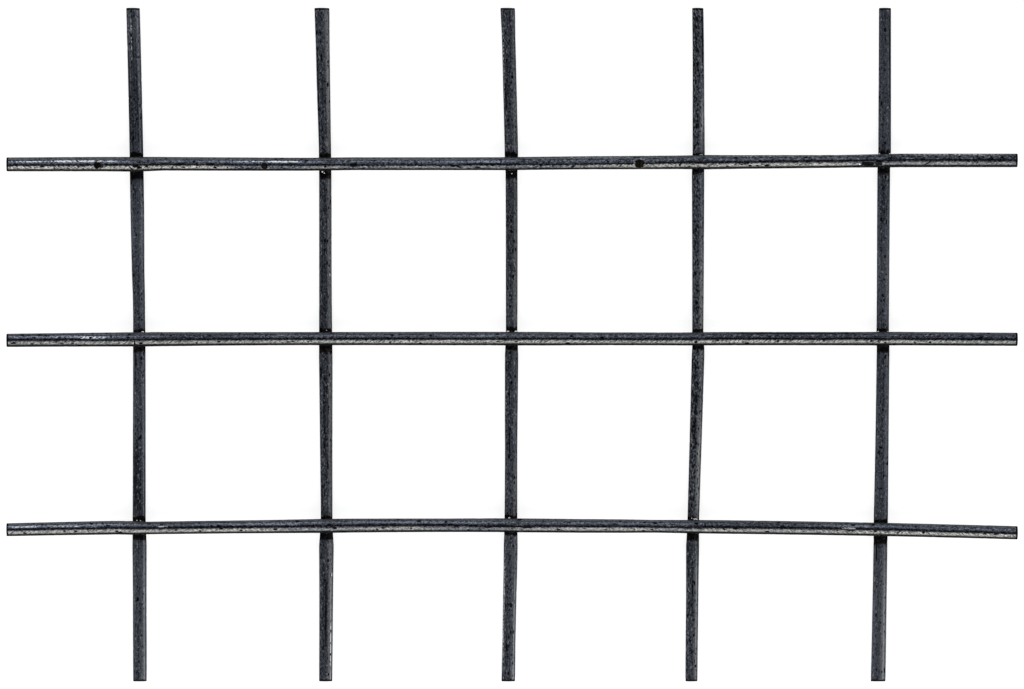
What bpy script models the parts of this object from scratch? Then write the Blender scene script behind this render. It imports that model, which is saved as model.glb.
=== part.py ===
"""Welded steel mesh panel, lying flat on the floor.

Line wires run along Y and rest on z = 0. Cross wires run along X on top of them, and each
crossing is a resistance weld, so that the whole panel is one solid. Metres, +Z up, with the
origin on the floor under the middle of the panel.
"""

import math
from typing import NamedTuple

import bmesh
import bpy
from mathutils import Matrix


class Stray(NamedTuple):
    """How far a wire lies off its true straight line, sideways, in metres.

    A place on the wire is t, which runs from -1 at one end to 1 at the other.
    """

    shift: float  # the whole wire
    lean: float  # from one end to the other
    bow: float  # the middle against both ends
    sway: float  # one way in the first half and the other way in the second

    def at(self, t):
        """The sideways offset at t."""
        return self.shift + self.lean * t + self.bow * (1 - t**2) + self.sway * (t**3 - t)


# The mesh
LINE_WIRE_COUNT = 5
CROSS_WIRE_COUNT = 3
LINE_WIRE_PITCH = 0.050
CROSS_WIRE_PITCH = 0.050
# From the outermost true crossing to the sheared end of the wire
LINE_WIRE_OVERHANG = 0.0404
CROSS_WIRE_OVERHANG = 0.0355

# The wire
LINE_WIRE_DIAMETER = 0.0034
CROSS_WIRE_DIAMETER = 0.0035
WIRE_SIDES = 16
RING_SPACING = 0.022
END_CHAMFER = 0.0003

# The welds
WELD_SETDOWN = 0.0006  # how far a cross wire is pressed into a line wire
WELD_FLASH_REACH = 0.0003  # squeezed-out metal past the side of either wire
WELD_FLASH_HALF_HEIGHT = 0.0008
WELD_FLASH_SIDES = 16
WELD_FLASH_BANDS = 8

# How the wires lie off true: line wires from -X to +X, cross wires from -Y to +Y
LINE_WIRE_STRAYS = (
    Stray(shift=-0.0009, lean=-0.0009, bow=0.0006, sway=-0.0002),
    Stray(shift=-0.0006, lean=-0.0005, bow=0.0006, sway=0.0),
    Stray(shift=-0.0012, lean=-0.0001, bow=0.0010, sway=-0.0004),
    Stray(shift=-0.0012, lean=0.0009, bow=0.0008, sway=-0.0007),
    Stray(shift=-0.0009, lean=0.0009, bow=0.0004, sway=0.0),
)
CROSS_WIRE_STRAYS = (
    Stray(shift=0.0, lean=-0.0004, bow=0.0015, sway=-0.0003),
    Stray(shift=0.0013, lean=0.0001, bow=0.0003, sway=0.0002),
    Stray(shift=-0.0010, lean=0.0006, bow=-0.0003, sway=-0.0002),
)

# Passes that close in on the point where two straying wires cross
CROSSING_PASSES = 4

SMOOTH_ANGLE = math.radians(35)
STEEL_COLOUR = (0.060, 0.064, 0.073, 1.0)
STEEL_ROUGHNESS = 0.42
STEEL_METALLIC = 0.85


def true_place(index, count, pitch):
    """Where wire number index of count wires would lie, with the middle of them all at 0."""
    return (index - (count - 1) / 2) * pitch


LINE_WIRE_HALF = (CROSS_WIRE_COUNT - 1) / 2 * CROSS_WIRE_PITCH + LINE_WIRE_OVERHANG
CROSS_WIRE_HALF = (LINE_WIRE_COUNT - 1) / 2 * LINE_WIRE_PITCH + CROSS_WIRE_OVERHANG
LINE_WIRE_HEIGHT = LINE_WIRE_DIAMETER / 2
CROSS_WIRE_HEIGHT = LINE_WIRE_DIAMETER - WELD_SETDOWN + CROSS_WIRE_DIAMETER / 2
WELD_HEIGHT = LINE_WIRE_DIAMETER - WELD_SETDOWN / 2


def line_wire_x(index, y):
    """X of a line wire's centre at y."""
    stray = LINE_WIRE_STRAYS[index % len(LINE_WIRE_STRAYS)]
    return true_place(index, LINE_WIRE_COUNT, LINE_WIRE_PITCH) + stray.at(y / LINE_WIRE_HALF)


def cross_wire_y(index, x):
    """Y of a cross wire's centre at x."""
    stray = CROSS_WIRE_STRAYS[index % len(CROSS_WIRE_STRAYS)]
    return true_place(index, CROSS_WIRE_COUNT, CROSS_WIRE_PITCH) + stray.at(x / CROSS_WIRE_HALF)


def crossing(line_index, cross_index):
    """X and Y of the point where a line wire and a cross wire meet."""
    x, y = 0.0, 0.0
    for _ in range(CROSSING_PASSES):
        x = line_wire_x(line_index, y)
        y = cross_wire_y(cross_index, x)
    return x, y


def steel_material():
    """Dark drawn steel, with its mill scale on."""
    material = bpy.data.materials.new("drawn_steel")
    material.use_nodes = True
    shader = material.node_tree.nodes["Principled BSDF"]
    shader.inputs["Base Color"].default_value = STEEL_COLOUR
    shader.inputs["Roughness"].default_value = STEEL_ROUGHNESS
    shader.inputs["Metallic"].default_value = STEEL_METALLIC
    return material


def new_object(name, bm, material):
    """An object that holds the bmesh, shaded smooth round the wire and sharp at its ends."""
    mesh = bpy.data.meshes.new(name)
    bm.to_mesh(mesh)
    bm.free()
    mesh.shade_smooth()
    mesh.set_sharp_from_angle(angle=SMOOTH_ANGLE)
    mesh.materials.append(material)
    obj = bpy.data.objects.new(name, mesh)
    bpy.context.scene.collection.objects.link(obj)
    return obj


def straight_wire(diameter, half_length):
    """A straight wire along Z, centred on the origin, with chamfered ends.

    A flat of the polygon faces each quarter, so that the width across flats is the diameter
    and the wire stands on a flat.
    """
    bm = bmesh.new()
    corner_radius = diameter / 2 / math.cos(math.pi / WIRE_SIDES)
    bmesh.ops.create_cone(
        bm,
        cap_ends=True,
        segments=WIRE_SIDES,
        radius1=corner_radius,
        radius2=corner_radius,
        depth=2 * half_length,
        matrix=Matrix.Rotation(math.pi / WIRE_SIDES, 4, "Z"),
    )
    rims = [edge for edge in bm.edges if edge.calc_length() < half_length]
    bmesh.ops.bevel(bm, geom=rims, offset=END_CHAMFER, segments=1, affect="EDGES")
    runs = [edge for edge in bm.edges if edge.calc_length() > half_length]
    rings = max(1, round(2 * half_length / RING_SPACING) - 1)
    bmesh.ops.subdivide_edges(bm, edges=runs, cuts=rings, use_grid_fill=True)
    return bm


def line_wire(index, material):
    """One of the wires that run along Y, under the cross wires."""
    bm = straight_wire(LINE_WIRE_DIAMETER, LINE_WIRE_HALF)
    bm.transform(Matrix.Translation((0, 0, LINE_WIRE_HEIGHT)) @ Matrix.Rotation(-math.pi / 2, 4, "X"))
    for vertex in bm.verts:
        vertex.co.x += line_wire_x(index, vertex.co.y)
    return new_object(f"line_wire_{index + 1}", bm, material)


def cross_wire(index, material):
    """One of the wires that run along X, pressed into the line wires."""
    bm = straight_wire(CROSS_WIRE_DIAMETER, CROSS_WIRE_HALF)
    bm.transform(Matrix.Translation((0, 0, CROSS_WIRE_HEIGHT)) @ Matrix.Rotation(math.pi / 2, 4, "Y"))
    for vertex in bm.verts:
        vertex.co.y += cross_wire_y(index, vertex.co.x)
    return new_object(f"cross_wire_{index + 1}", bm, material)


def weld_flash(line_index, cross_index, material):
    """The lens of squeezed-out metal round the joint of two wires."""
    bm = bmesh.new()
    bmesh.ops.create_uvsphere(
        bm, u_segments=WELD_FLASH_SIDES, v_segments=WELD_FLASH_BANDS, radius=1
    )
    half_axes = (
        LINE_WIRE_DIAMETER / 2 + WELD_FLASH_REACH,
        CROSS_WIRE_DIAMETER / 2 + WELD_FLASH_REACH,
        WELD_FLASH_HALF_HEIGHT,
    )
    bmesh.ops.scale(bm, vec=half_axes, verts=bm.verts)
    flash = new_object(f"weld_flash_{line_index + 1}_{cross_index + 1}", bm, material)
    flash.location = (*crossing(line_index, cross_index), WELD_HEIGHT)
    return flash


def fuse(body, others):
    """Joins the other objects to the body with one Boolean union, and leaves them as helpers."""
    helpers = bpy.data.collections.new("fused_into_the_panel")
    bpy.context.scene.collection.children.link(helpers)
    for other in others:
        bpy.context.scene.collection.objects.unlink(other)
        helpers.objects.link(other)
        other.hide_render = True
        other.display_type = "WIRE"
    union = body.modifiers.new("welds", "BOOLEAN")
    union.operation = "UNION"
    union.operand_type = "COLLECTION"
    union.collection = helpers
    union.solver = "EXACT"


def main():
    for obj in list(bpy.data.objects):
        bpy.data.objects.remove(obj)
    steel = steel_material()
    line_wires = [line_wire(index, steel) for index in range(LINE_WIRE_COUNT)]
    cross_wires = [cross_wire(index, steel) for index in range(CROSS_WIRE_COUNT)]
    flashes = [
        weld_flash(line_index, cross_index, steel)
        for line_index in range(LINE_WIRE_COUNT)
        for cross_index in range(CROSS_WIRE_COUNT)
    ]
    panel, *other_line_wires = line_wires
    panel.name = "welded_mesh"
    fuse(panel, other_line_wires + cross_wires + flashes)


main()
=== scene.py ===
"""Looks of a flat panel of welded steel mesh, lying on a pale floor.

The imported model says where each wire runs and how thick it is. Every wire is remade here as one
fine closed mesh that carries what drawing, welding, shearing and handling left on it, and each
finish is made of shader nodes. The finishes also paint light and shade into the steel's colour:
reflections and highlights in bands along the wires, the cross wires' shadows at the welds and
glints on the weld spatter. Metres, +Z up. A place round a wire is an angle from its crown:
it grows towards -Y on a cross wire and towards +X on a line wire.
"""

import logging
import math
from dataclasses import dataclass, field
from enum import Enum
from typing import Any, ClassVar

import bmesh
import bpy
import numpy as np
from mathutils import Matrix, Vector


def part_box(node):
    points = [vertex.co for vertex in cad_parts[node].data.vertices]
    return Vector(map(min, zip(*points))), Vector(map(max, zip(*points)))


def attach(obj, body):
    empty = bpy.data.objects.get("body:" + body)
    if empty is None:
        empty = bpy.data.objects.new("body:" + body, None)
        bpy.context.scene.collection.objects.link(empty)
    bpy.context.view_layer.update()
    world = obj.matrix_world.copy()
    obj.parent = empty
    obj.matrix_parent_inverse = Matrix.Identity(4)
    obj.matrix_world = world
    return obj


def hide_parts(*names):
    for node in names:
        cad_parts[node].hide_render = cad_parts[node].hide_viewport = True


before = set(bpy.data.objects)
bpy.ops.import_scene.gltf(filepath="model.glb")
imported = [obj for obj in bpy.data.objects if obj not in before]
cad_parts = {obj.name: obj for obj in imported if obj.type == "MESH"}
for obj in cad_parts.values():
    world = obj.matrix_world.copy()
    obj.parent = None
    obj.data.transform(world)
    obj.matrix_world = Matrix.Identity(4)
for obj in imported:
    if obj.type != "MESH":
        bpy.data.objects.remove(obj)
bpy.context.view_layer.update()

log = logging.getLogger("mesh_panel")

MM = 0.001
PANEL_NODE = "welded_mesh"
PANEL_BODY = "root"

Array = float | np.ndarray
Triple = tuple[float, float, float]
Colour = Triple
Span = Triple  # degrees round a wire: from, to, and how soft the edges are
Noise = Triple  # how fine, how detailed and how rough a noise is
Bumps = tuple[float, int]  # the length of one bump along a wire, and how many go round it
Trend = tuple[tuple[float, float], ...]  # pairs of a place along a wire, in millimetres, and a value


def smooth_step(low: Array, high: Array, value: Array) -> Array:
    """A soft step over an array.

    Args:
        low: where the step starts. It may lie above high, for a step that falls.
        high: where the step ends.
        value: the numbers to step.

    Returns:
        0 before low, 1 past high and a smooth rise between them.
    """
    share = np.clip((value - low) / (high - low), 0.0, 1.0)
    return share * share * (3.0 - 2.0 * share)


def follow(along: np.ndarray, trend: Trend) -> np.ndarray:
    """The values of a trend at places along a wire, with straight lines between its own places."""
    return np.interp(along / MM, *zip(*trend))


def add_to_scene(name: str, data: bpy.types.ID) -> bpy.types.Object:
    """Makes an object and puts it in the scene.

    Args:
        name: of the object.
        data: a mesh, a lamp or a camera.

    Returns:
        The object.
    """
    made = bpy.data.objects.new(name, data)
    bpy.context.scene.collection.objects.link(made)
    return made


def mesh_of(name: str, plan: bmesh.types.BMesh) -> bpy.types.Mesh:
    """Turns a plan into a mesh and frees the plan.

    Args:
        name: of the mesh.
        plan: what it is made from.

    Returns:
        The mesh.
    """
    mesh = bpy.data.meshes.new(name)
    plan.to_mesh(mesh)
    plan.free()
    return mesh


class Run(Enum):
    """The two ways that the wires run."""

    LINE = "line"
    CROSS = "cross"

    @property
    def along(self) -> int:
        """The number of the axis that the wire runs along."""
        return 1 if self is Run.LINE else 0

    @property
    def aside(self) -> int:
        """The number of the axis that lies square to the run, on the floor."""
        return 1 - self.along

    @property
    def sense(self) -> int:
        """Which way along the aside axis a quarter turn round the wire points."""
        return 1 if self is Run.LINE else -1


@dataclass(frozen=True)
class Wear:
    """What a kind of mark does to the steel."""

    depth: float  # how far its middle lies under the surface
    dark: float  # from 0 to 1
    bright: float  # from 0 to 1
    blunt: float  # 2 for an oval, and more for a box with blunter ends


class MarkKind(Enum):
    """The kinds of mark on a wire."""

    PIT = Wear(0.20 * MM, 1.0, 0.0, 2.2)
    NICK = Wear(0.05 * MM, 0.9, 0.0, 2.2)
    SCUFF = Wear(0.04 * MM, 0.56, 0.0, 2.6)
    GROOVE = Wear(0.02 * MM, 0.6, 0.0, 4.0)
    # a painted highlight: bright dashes of reflected light
    SHINE = Wear(0.0, 0.0, 0.85, 4.0)
    CRUST = Wear(-0.02 * MM, 0.0, 0.52, 3.0)


@dataclass(frozen=True)
class Mark:
    """One mark on a wire, in millimetres and degrees: what handling or drawing left, and for SHINE a painted
    highlight.
    """

    kind: MarkKind
    along: float
    turn: float
    length: float
    width: float
    slant: float = 0.0  # from the run towards growing turn
    strength: float = 1.0
    rim: float = 0.0  # how strongly a pale raised rim shows

    EDGE: ClassVar[float] = 0.32  # the share of the mark over which it fades

    def spread(self, along: np.ndarray, arc: np.ndarray) -> np.ndarray:
        """How far places lie from the middle of the mark.

        Args:
            along: millimetres along the wire.
            arc: millimetres round the wire from its crown.

        Returns:
            1 on the outline of the mark, and less inside it.
        """
        lean, blunt = math.radians(self.slant), self.kind.value.blunt
        ahead = along - self.along
        lengthwise = np.abs(ahead * math.cos(lean) + arc * math.sin(lean)) / (self.length / 2)
        sideways = np.abs(arc * math.cos(lean) - ahead * math.sin(lean)) / (self.width / 2)
        return (lengthwise**blunt + sideways**blunt) ** (1 / blunt)


@dataclass(frozen=True)
class ScorchAndShadow:
    """How far the heat of one weld blackened a line wire, with the cross wire's shadow painted in, in
    millimetres past the cross wire.
    """

    front: float  # towards -Y, where the painted shadow reaches further
    back: float


@dataclass(frozen=True)
class Look:
    """What sets one wire apart from the others. Its trends run from -Y to +Y or from -X to +X."""

    jogs: Trend  # small bends that the model leaves out, in millimetres towards +X or +Y
    widths: Trend  # how much further out each flank lies, in millimetres
    pale: Trend  # how strong the painted pale reflection band is, and on a line wire the painted lighter flank
    turned: Trend  # degrees by which the painted reflection bands are turned round the wire
    sheen: Trend  # how strong the painted highlight streak is
    specks: Trend  # how many dark specks there are
    tone: Trend  # how much lighter the steel is
    marks: tuple[Mark, ...]
    leaning: Trend = ((0, 0.5),)  # 0 where the dashes lean back from the run, 1 where they lean on
    scorches_and_shadows: tuple[ScorchAndShadow, ...] = ()  # one for each weld of a line wire: its scorch and painted shadow


@dataclass(frozen=True)
class Course:
    """The centre line of one wire: level, and bowed a little to one side or the other."""

    run: Run
    bow: tuple[float, ...]  # factors of a cubic, the highest power first
    half_length: float
    height: float
    radius: float
    jogs: Trend

    def aside(self, along: Array) -> Array:
        """How far the centre line lies from the middle of the panel, at places along it."""
        return np.polyval(self.bow, along) + follow(along, self.jogs) * MM

    def places(self, along: np.ndarray, reach: np.ndarray, angle: np.ndarray) -> np.ndarray:
        """Turns places on the wire into places in the panel.

        Args:
            along: distance along the run.
            reach: distance out from the centre line.
            angle: turn round the wire from its crown, in radians.

        Returns:
            An array with x, y and z in its last axis.
        """
        places = np.empty(np.broadcast(along, reach, angle).shape + (3,))
        places[..., self.run.along] = along
        places[..., self.run.aside] = self.aside(along) + self.run.sense * reach * np.sin(angle)
        places[..., 2] = self.height + reach * np.cos(angle)
        return places


class PanelSurvey:
    """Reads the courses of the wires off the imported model's own vertices."""

    SAME_LEVEL = 0.01 * MM
    WIRES_APART = 10 * MM
    PAST_A_WELD = 6 * MM
    BOW_POWER = 3
    CROSSING_PASSES = 4

    def __init__(self, node: str, line_looks: tuple[Look, ...], cross_looks: tuple[Look, ...]) -> None:
        """Measures the node and keeps what it finds.

        Args:
            node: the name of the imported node.
            line_looks: the looks of the line wires, which hold their small bends.
            cross_looks: those of the cross wires.
        """
        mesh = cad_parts[node].data
        self.places = np.array([vertex.co for vertex in mesh.vertices])
        self.low, self.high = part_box(node)
        line_flats, cross_flats = self._flats(self.low.z), self._flats(self.high.z)
        past_cross_wires = self._past(cross_flats, Run.LINE)
        past_line_wires = self._past(line_flats, Run.CROSS)
        self.line_diameter = float(past_cross_wires[:, 2].max() - self.low.z)
        self.cross_diameter = float(self.high.z - past_line_wires[:, 2].min())
        self.line_wires = self._courses(Run.LINE, line_flats, self.line_diameter, line_looks)
        self.cross_wires = self._courses(Run.CROSS, cross_flats, self.cross_diameter, cross_looks)

    def _flats(self, level: float) -> np.ndarray:
        """The vertices that lie at one level."""
        return self.places[np.abs(self.places[:, 2] - level) < self.SAME_LEVEL]

    def _past(self, flats: np.ndarray, run: Run) -> np.ndarray:
        """The vertices past the outermost wires of the other run, where the wires of a run are free."""
        outermost = np.abs(flats[:, run.along]).max() + self.PAST_A_WELD
        return self.places[np.abs(self.places[:, run.along]) > outermost]

    def _courses(
        self, run: Run, flats: np.ndarray, diameter: float, looks: tuple[Look, ...]
    ) -> tuple[Course, ...]:
        """Fits one course to the flats of each wire of a run.

        Args:
            run: the way that the wires run.
            flats: vertices in pairs, one on each side of a wire's centre line.
            diameter: of the wires.
            looks: of the wires.

        Returns:
            The courses, in order along the other axis.
        """
        flats = flats[np.argsort(flats[:, run.aside])]
        breaks = np.nonzero(np.diff(flats[:, run.aside]) > self.WIRES_APART)[0] + 1
        height = self.low.z + diameter / 2 if run is Run.LINE else self.high.z - diameter / 2
        return tuple(
            Course(
                run=run,
                bow=tuple(np.polyfit(wire[:, run.along], wire[:, run.aside], self.BOW_POWER)),
                half_length=(self.high[run.along] - self.low[run.along]) / 2,
                height=height,
                radius=diameter / 2,
                jogs=look.jogs,
            )
            for wire, look in zip(np.split(flats, breaks), looks, strict=True)
        )

    def crossing(self, line_wire: Course, cross_wire: Course) -> tuple[float, float]:
        """Finds the point where two wires cross.

        Args:
            line_wire: the course of the wire underneath.
            cross_wire: the course of the wire on top.

        Returns:
            Its x and y.
        """
        x, y = 0.0, 0.0
        for _ in range(self.CROSSING_PASSES):
            x = float(line_wire.aside(y))
            y = float(cross_wire.aside(x))
        return x, y


class Grain:
    """Seeded unevenness over an unrolled wire, which closes on itself round the wire."""

    def __init__(self, seed: int) -> None:
        """Starts a run of random draws."""
        self.draws = np.random.default_rng(seed)

    def waves(self, along: np.ndarray, angle: np.ndarray, bumps: Bumps) -> np.ndarray:
        """Smooth noise from -1 to 1.

        Args:
            along: a place for each ring.
            angle: a turn for each side, from -pi to pi.
            bumps: the size of the bumps.

        Returns:
            A row for each ring and a column for each side.
        """
        length, count = bumps
        rows = along / length
        rows = rows - np.floor(rows.min())
        row = np.floor(rows).astype(int)
        row_share = smooth_step(0.0, 1.0, rows - row)[:, None]
        columns = (angle + math.pi) / math.tau * count
        column = np.floor(columns).astype(int)
        column_share = smooth_step(0.0, 1.0, columns - column)[None, :]
        lattice = self.draws.uniform(-1.0, 1.0, (row.max() + 2, count))
        near, far = column % count, (column + 1) % count
        here = lattice[row][:, near] * (1 - column_share) + lattice[row][:, far] * column_share
        ahead = lattice[row + 1][:, near] * (1 - column_share) + lattice[row + 1][:, far] * column_share
        return here * (1 - row_share) + ahead * row_share


@dataclass
class Skin:
    """The unrolled surface of a wire: a row for each ring and a column for each side."""

    along: np.ndarray
    angle: np.ndarray
    radius: float
    grain: Grain
    relief: np.ndarray = field(init=False)
    dark: np.ndarray = field(init=False)
    bright: np.ndarray = field(init=False)
    heat_and_shadow: np.ndarray = field(init=False)

    WOBBLE: ClassVar[float] = 0.14  # how uneven the outlines of marks are
    WOBBLE_BUMPS: ClassVar[Bumps] = (0.5 * MM, 18)
    RIM_PLACE: ClassVar[float] = 1.1  # where 1 is the outline of the mark
    RIM_WIDTH: ClassVar[float] = 0.28
    RIM_HEIGHT: ClassVar[float] = 0.15  # the share of the mark's depth that its rim stands up

    def __post_init__(self) -> None:
        """Starts with a plain surface."""
        shape = (len(self.along), len(self.angle))
        self.relief, self.dark, self.bright, self.heat_and_shadow = (np.zeros(shape) for _ in range(4))

    def waves(self, *layers: Bumps) -> np.ndarray:
        """Smooth noise over the whole surface, from -1 to 1 for each layer."""
        return sum(self.grain.waves(self.along, self.angle, bumps) for bumps in layers)

    def add(self, mark: Mark) -> None:
        """Presses a mark into the surface.

        Args:
            mark: the mark.
        """
        reach = max(mark.length, mark.width)
        near = np.nonzero(np.abs(self.along / MM - mark.along) < reach)[0]
        if not len(near):
            return
        rows = slice(near[0], near[-1] + 1)
        turn = np.mod(self.angle - math.radians(mark.turn) + math.pi, math.tau) - math.pi
        spread = mark.spread((self.along[rows] / MM)[:, None], (turn * self.radius / MM)[None, :])
        wobble = self.grain.waves(self.along[rows], self.angle, self.WOBBLE_BUMPS)
        spread = spread * (1 + self.WOBBLE * wobble)
        inside = smooth_step(1 + mark.EDGE / 2, 1 - mark.EDGE, spread) * mark.strength
        rim = np.exp(-(((spread - self.RIM_PLACE) / self.RIM_WIDTH) ** 2)) * mark.rim
        wear = mark.kind.value
        self.relief[rows] -= inside * wear.depth
        self.relief[rows] += rim * wear.depth * self.RIM_HEIGHT
        self.dark[rows] = np.maximum(self.dark[rows], inside * wear.dark)
        self.bright[rows] = np.maximum(self.bright[rows], np.maximum(inside * wear.bright, rim))


@dataclass
class Wire:
    """One wire, remade as a fine closed mesh with sheared ends."""

    name: str
    course: Course
    welds: tuple[float, ...]  # where it crosses other wires, along the run
    seed: int
    look: Look

    sides: int = 64
    proud: float = 0.34 * MM
    oval: float = 0.01 * MM  # how much further the wire's flanks stand out than its crown
    ring_spacing: float = 0.34 * MM
    fine_spacing: float = 0.18 * MM  # at the welds
    end_spacing: float = 0.12 * MM
    fine_zone: float = 3.2 * MM
    weld_zone: tuple[float, float] = (1.0, 1.7)  # fine zones from a weld: finest, and coarsest
    end_zone: tuple[float, float] = (0.3, 1.0)  # the same from an end

    draw_lines: float = 0.010 * MM  # the depth of the lines that the drawing die left
    draw_bumps: tuple[Bumps, ...] = ((26 * MM, 46), (9 * MM, 60))
    scale_relief: float = 0.012 * MM  # the unevenness of the mill scale
    scale_bumps: tuple[Bumps, ...] = ((0.7 * MM, 20), (1.6 * MM, 9))
    waviness: float = 0.020 * MM  # how far the wire is off round and straight
    waviness_bumps: Bumps = (17 * MM, 3)

    random_pits: float = 1.6  # for each millimetre of wire
    pit_sizes: tuple[float, float] = (0.35, 0.75)  # millimetres
    pit_strengths: tuple[float, float] = (0.25, 0.9)
    pit_stretches: tuple[float, float] = (1.0, 2.2)

    electrode_flat: float = 0.10 * MM  # how far a welding electrode pressed the wire
    electrode_reach: float = 2.2 * MM
    electrode_fade: tuple[float, float] = (1.5, 0.6)  # shares of that reach: untouched, and pressed

    face_rings: tuple[float, ...] = (0.985, 0.95, 0.90, 0.80, 0.68, 0.55, 0.42, 0.28, 0.14)
    face_leans: tuple[float, float] = (0.4, 2.3)  # the turn that each end leans back from
    face_tilt: float = 0.05 * MM
    face_relief: float = 0.035 * MM
    face_bumps: Bumps = (0.6 * MM, 12)
    slide: float = 1.2 * MM  # the length over which the rings follow a tilted end
    rollover: float = 0.045 * MM  # how far the shear blade dragged the edge in
    rollover_length: float = 0.25 * MM
    rollover_even: float = 1.2  # over 1, and the larger, the more alike it is all round
    dark_end: float = 0.62 * MM  # the length of the darkened stretch of the sides at each end
    dark_end_full: float = 0.6  # the share of that length which is wholly black
    dark_end_ragged: float = 0.10 * MM
    dark_end_bumps: Bumps = (0.6 * MM, 22)
    dark_end_strength: float = 0.92

    STARTS_APART: ClassVar[float] = 0.3
    PLACES_TRIED: ClassVar[int] = 6001
    LEAST_PRESSED: ClassVar[float] = 0.2  # the least cosines that the flats and the outline divide by
    LEAST_PROUD: ClassVar[float] = 0.3
    FACE_GRAIN_LENGTH: ClassVar[float] = 4 * MM
    FACE_SMOOTH_RIM: ClassVar[int] = 6  # the higher, the closer to the rim the face is rough
    DARK_END_SEED: ClassVar[int] = 300
    FACE_SEED: ClassVar[int] = 5000
    MAP_MARGIN: ClassVar[float] = 0.004
    DISC_ROOM: ClassVar[float] = 2.2  # the height of the map's row for the faces, in radii
    FAR_DISC: ClassVar[float] = 2.2  # how far along that row the far face lies, in its heights
    DISC_SHARE: ClassVar[float] = 0.80  # of that row's height

    @property
    def crown_press(self) -> float:
        """The turn, in radians, of the side that the electrode pressed."""
        return 0.0 if self.course.run is Run.CROSS else math.pi

    def angles(self) -> np.ndarray:
        """The turn of each side, in radians."""
        return np.arange(self.sides) / self.sides * math.tau - math.pi

    def rings(self) -> np.ndarray:
        """Spaces the rings, closer together at the welds and the ends.

        Returns:
            Their places along the wire.
        """
        half = self.course.half_length
        fine = np.linspace(-half, half, self.PLACES_TRIED)
        nearest = np.abs(fine[:, None] - np.array(self.welds)[None, :]).min(axis=1)
        at_welds = (self.fine_spacing, self.ring_spacing)
        spacing = np.interp(nearest / self.fine_zone, self.weld_zone, at_welds)
        near_end = (half - np.abs(fine)) / self.fine_zone
        at_ends = (self.end_spacing, self.ring_spacing)
        spacing = np.minimum(spacing, np.interp(near_end, self.end_zone, at_ends))
        count = np.concatenate([[0.0], np.cumsum(np.diff(fine) / spacing[1:])])
        return np.interp(np.linspace(0, count[-1], math.ceil(count[-1]) + 1), count, fine)

    def skin(self) -> Skin:
        """Unrolls the surface, with everything that the wire's life left on it, and its painted highlights
        and shadows.

        Returns:
            The surface.
        """
        skin = Skin(self.rings(), self.angles(), self.course.radius, Grain(self.seed))
        self.draw(skin)
        self.scatter_pits(skin)
        for mark in self.look.marks:
            skin.add(mark)
        self.press(skin)
        return skin

    def draw(self, skin: Skin) -> None:
        """Adds the lines of the die and the unevenness of the scale.

        Args:
            skin: the surface, which is changed.
        """
        lines = skin.waves(*self.draw_bumps)
        scale = skin.waves(*self.scale_bumps)
        bend = skin.waves(self.waviness_bumps)
        skin.relief += self.draw_lines / 2 * lines + self.scale_relief / 2 * scale + self.waviness * bend
        flanks = self.oval + self.trends(skin.along, self.look.widths) * MM
        skin.relief += flanks * np.sin(skin.angle) ** 2

    def scatter_pits(self, skin: Skin) -> None:
        """Adds small pits all over the wire.

        Args:
            skin: the surface, which is changed.
        """
        draw = skin.grain.draws.uniform
        length = 2 * self.course.half_length / MM
        for _ in range(round(length * self.random_pits)):
            along, turn = draw(-length / 2, length / 2), draw(-180, 180)
            size, strength = draw(*self.pit_sizes), draw(*self.pit_strengths)
            stretch = draw(*self.pit_stretches)
            skin.add(Mark(MarkKind.NICK, along, turn, size * stretch, size, strength=strength))

    def press(self, skin: Skin) -> None:
        """Flattens the side that the welding electrodes pressed.

        Args:
            skin: the surface, which is changed.
        """
        height = self.course.radius - self.electrode_flat
        untouched, pressed = (share * self.electrode_reach for share in self.electrode_fade)
        for weld in self.welds:
            near = smooth_step(untouched, pressed, np.abs(skin.along - weld))
            facing = np.cos(skin.angle - self.crown_press)
            over = np.maximum(self.course.radius * facing - height, 0.0)
            over = over / np.maximum(facing, self.LEAST_PRESSED)
            skin.relief -= near[:, None] * over[None, :]

    def end_reach(self, skin: Skin) -> np.ndarray:
        """Drags the edges of the sheared ends in, and darkens the sides next to them.

        Args:
            skin: the surface, which is changed.

        Returns:
            How far each point of the sides is dragged in.
        """
        drag = np.zeros_like(skin.relief)
        grain = Grain(self.seed + self.DARK_END_SEED)
        for side, lean in zip((-1, 1), self.face_leans):
            inward = self.course.half_length - side * skin.along
            near = np.exp(-inward / self.rollover_length)[:, None]
            uneven = (self.rollover_even + np.cos(skin.angle - lean))[None, :]
            drag += near * uneven / (self.rollover_even + 1) * self.rollover
            ragged = self.dark_end_ragged * grain.waves(skin.along, skin.angle, self.dark_end_bumps)
            black = smooth_step(self.dark_end, self.dark_end_full * self.dark_end, inward[:, None] + ragged)
            skin.dark = np.maximum(skin.dark, black * self.dark_end_strength)
        return drag

    def tilt(self, lean: float, share: Array) -> np.ndarray:
        """How far a sheared face leans back at each side, at a share of the radius."""
        return self.face_tilt * (1 + share * np.cos(self.angles() - lean)) / 2

    def face(self, end: int, rim: np.ndarray, grain: Grain) -> tuple[np.ndarray, np.ndarray]:
        """The rings of one sheared end face, from its rim inward.

        Args:
            end: 0 for the near end of the run and 1 for the far one.
            rim: how far out the last ring of the sides lies.
            grain: what roughens the face.

        Returns:
            How far along and how far out each point lies, with a row for each ring.
        """
        share = np.array(self.face_rings)[:, None]
        waves = grain.waves(share[:, 0] * self.FACE_GRAIN_LENGTH, self.angles(), self.face_bumps)
        rough = self.face_relief * (1 + waves) / 2
        sunk = self.tilt(self.face_leans[end], share) + rough * (1 - share**self.FACE_SMOOTH_RIM)
        return (2 * end - 1) * (self.course.half_length - sunk), share * rim[None, :]

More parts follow.
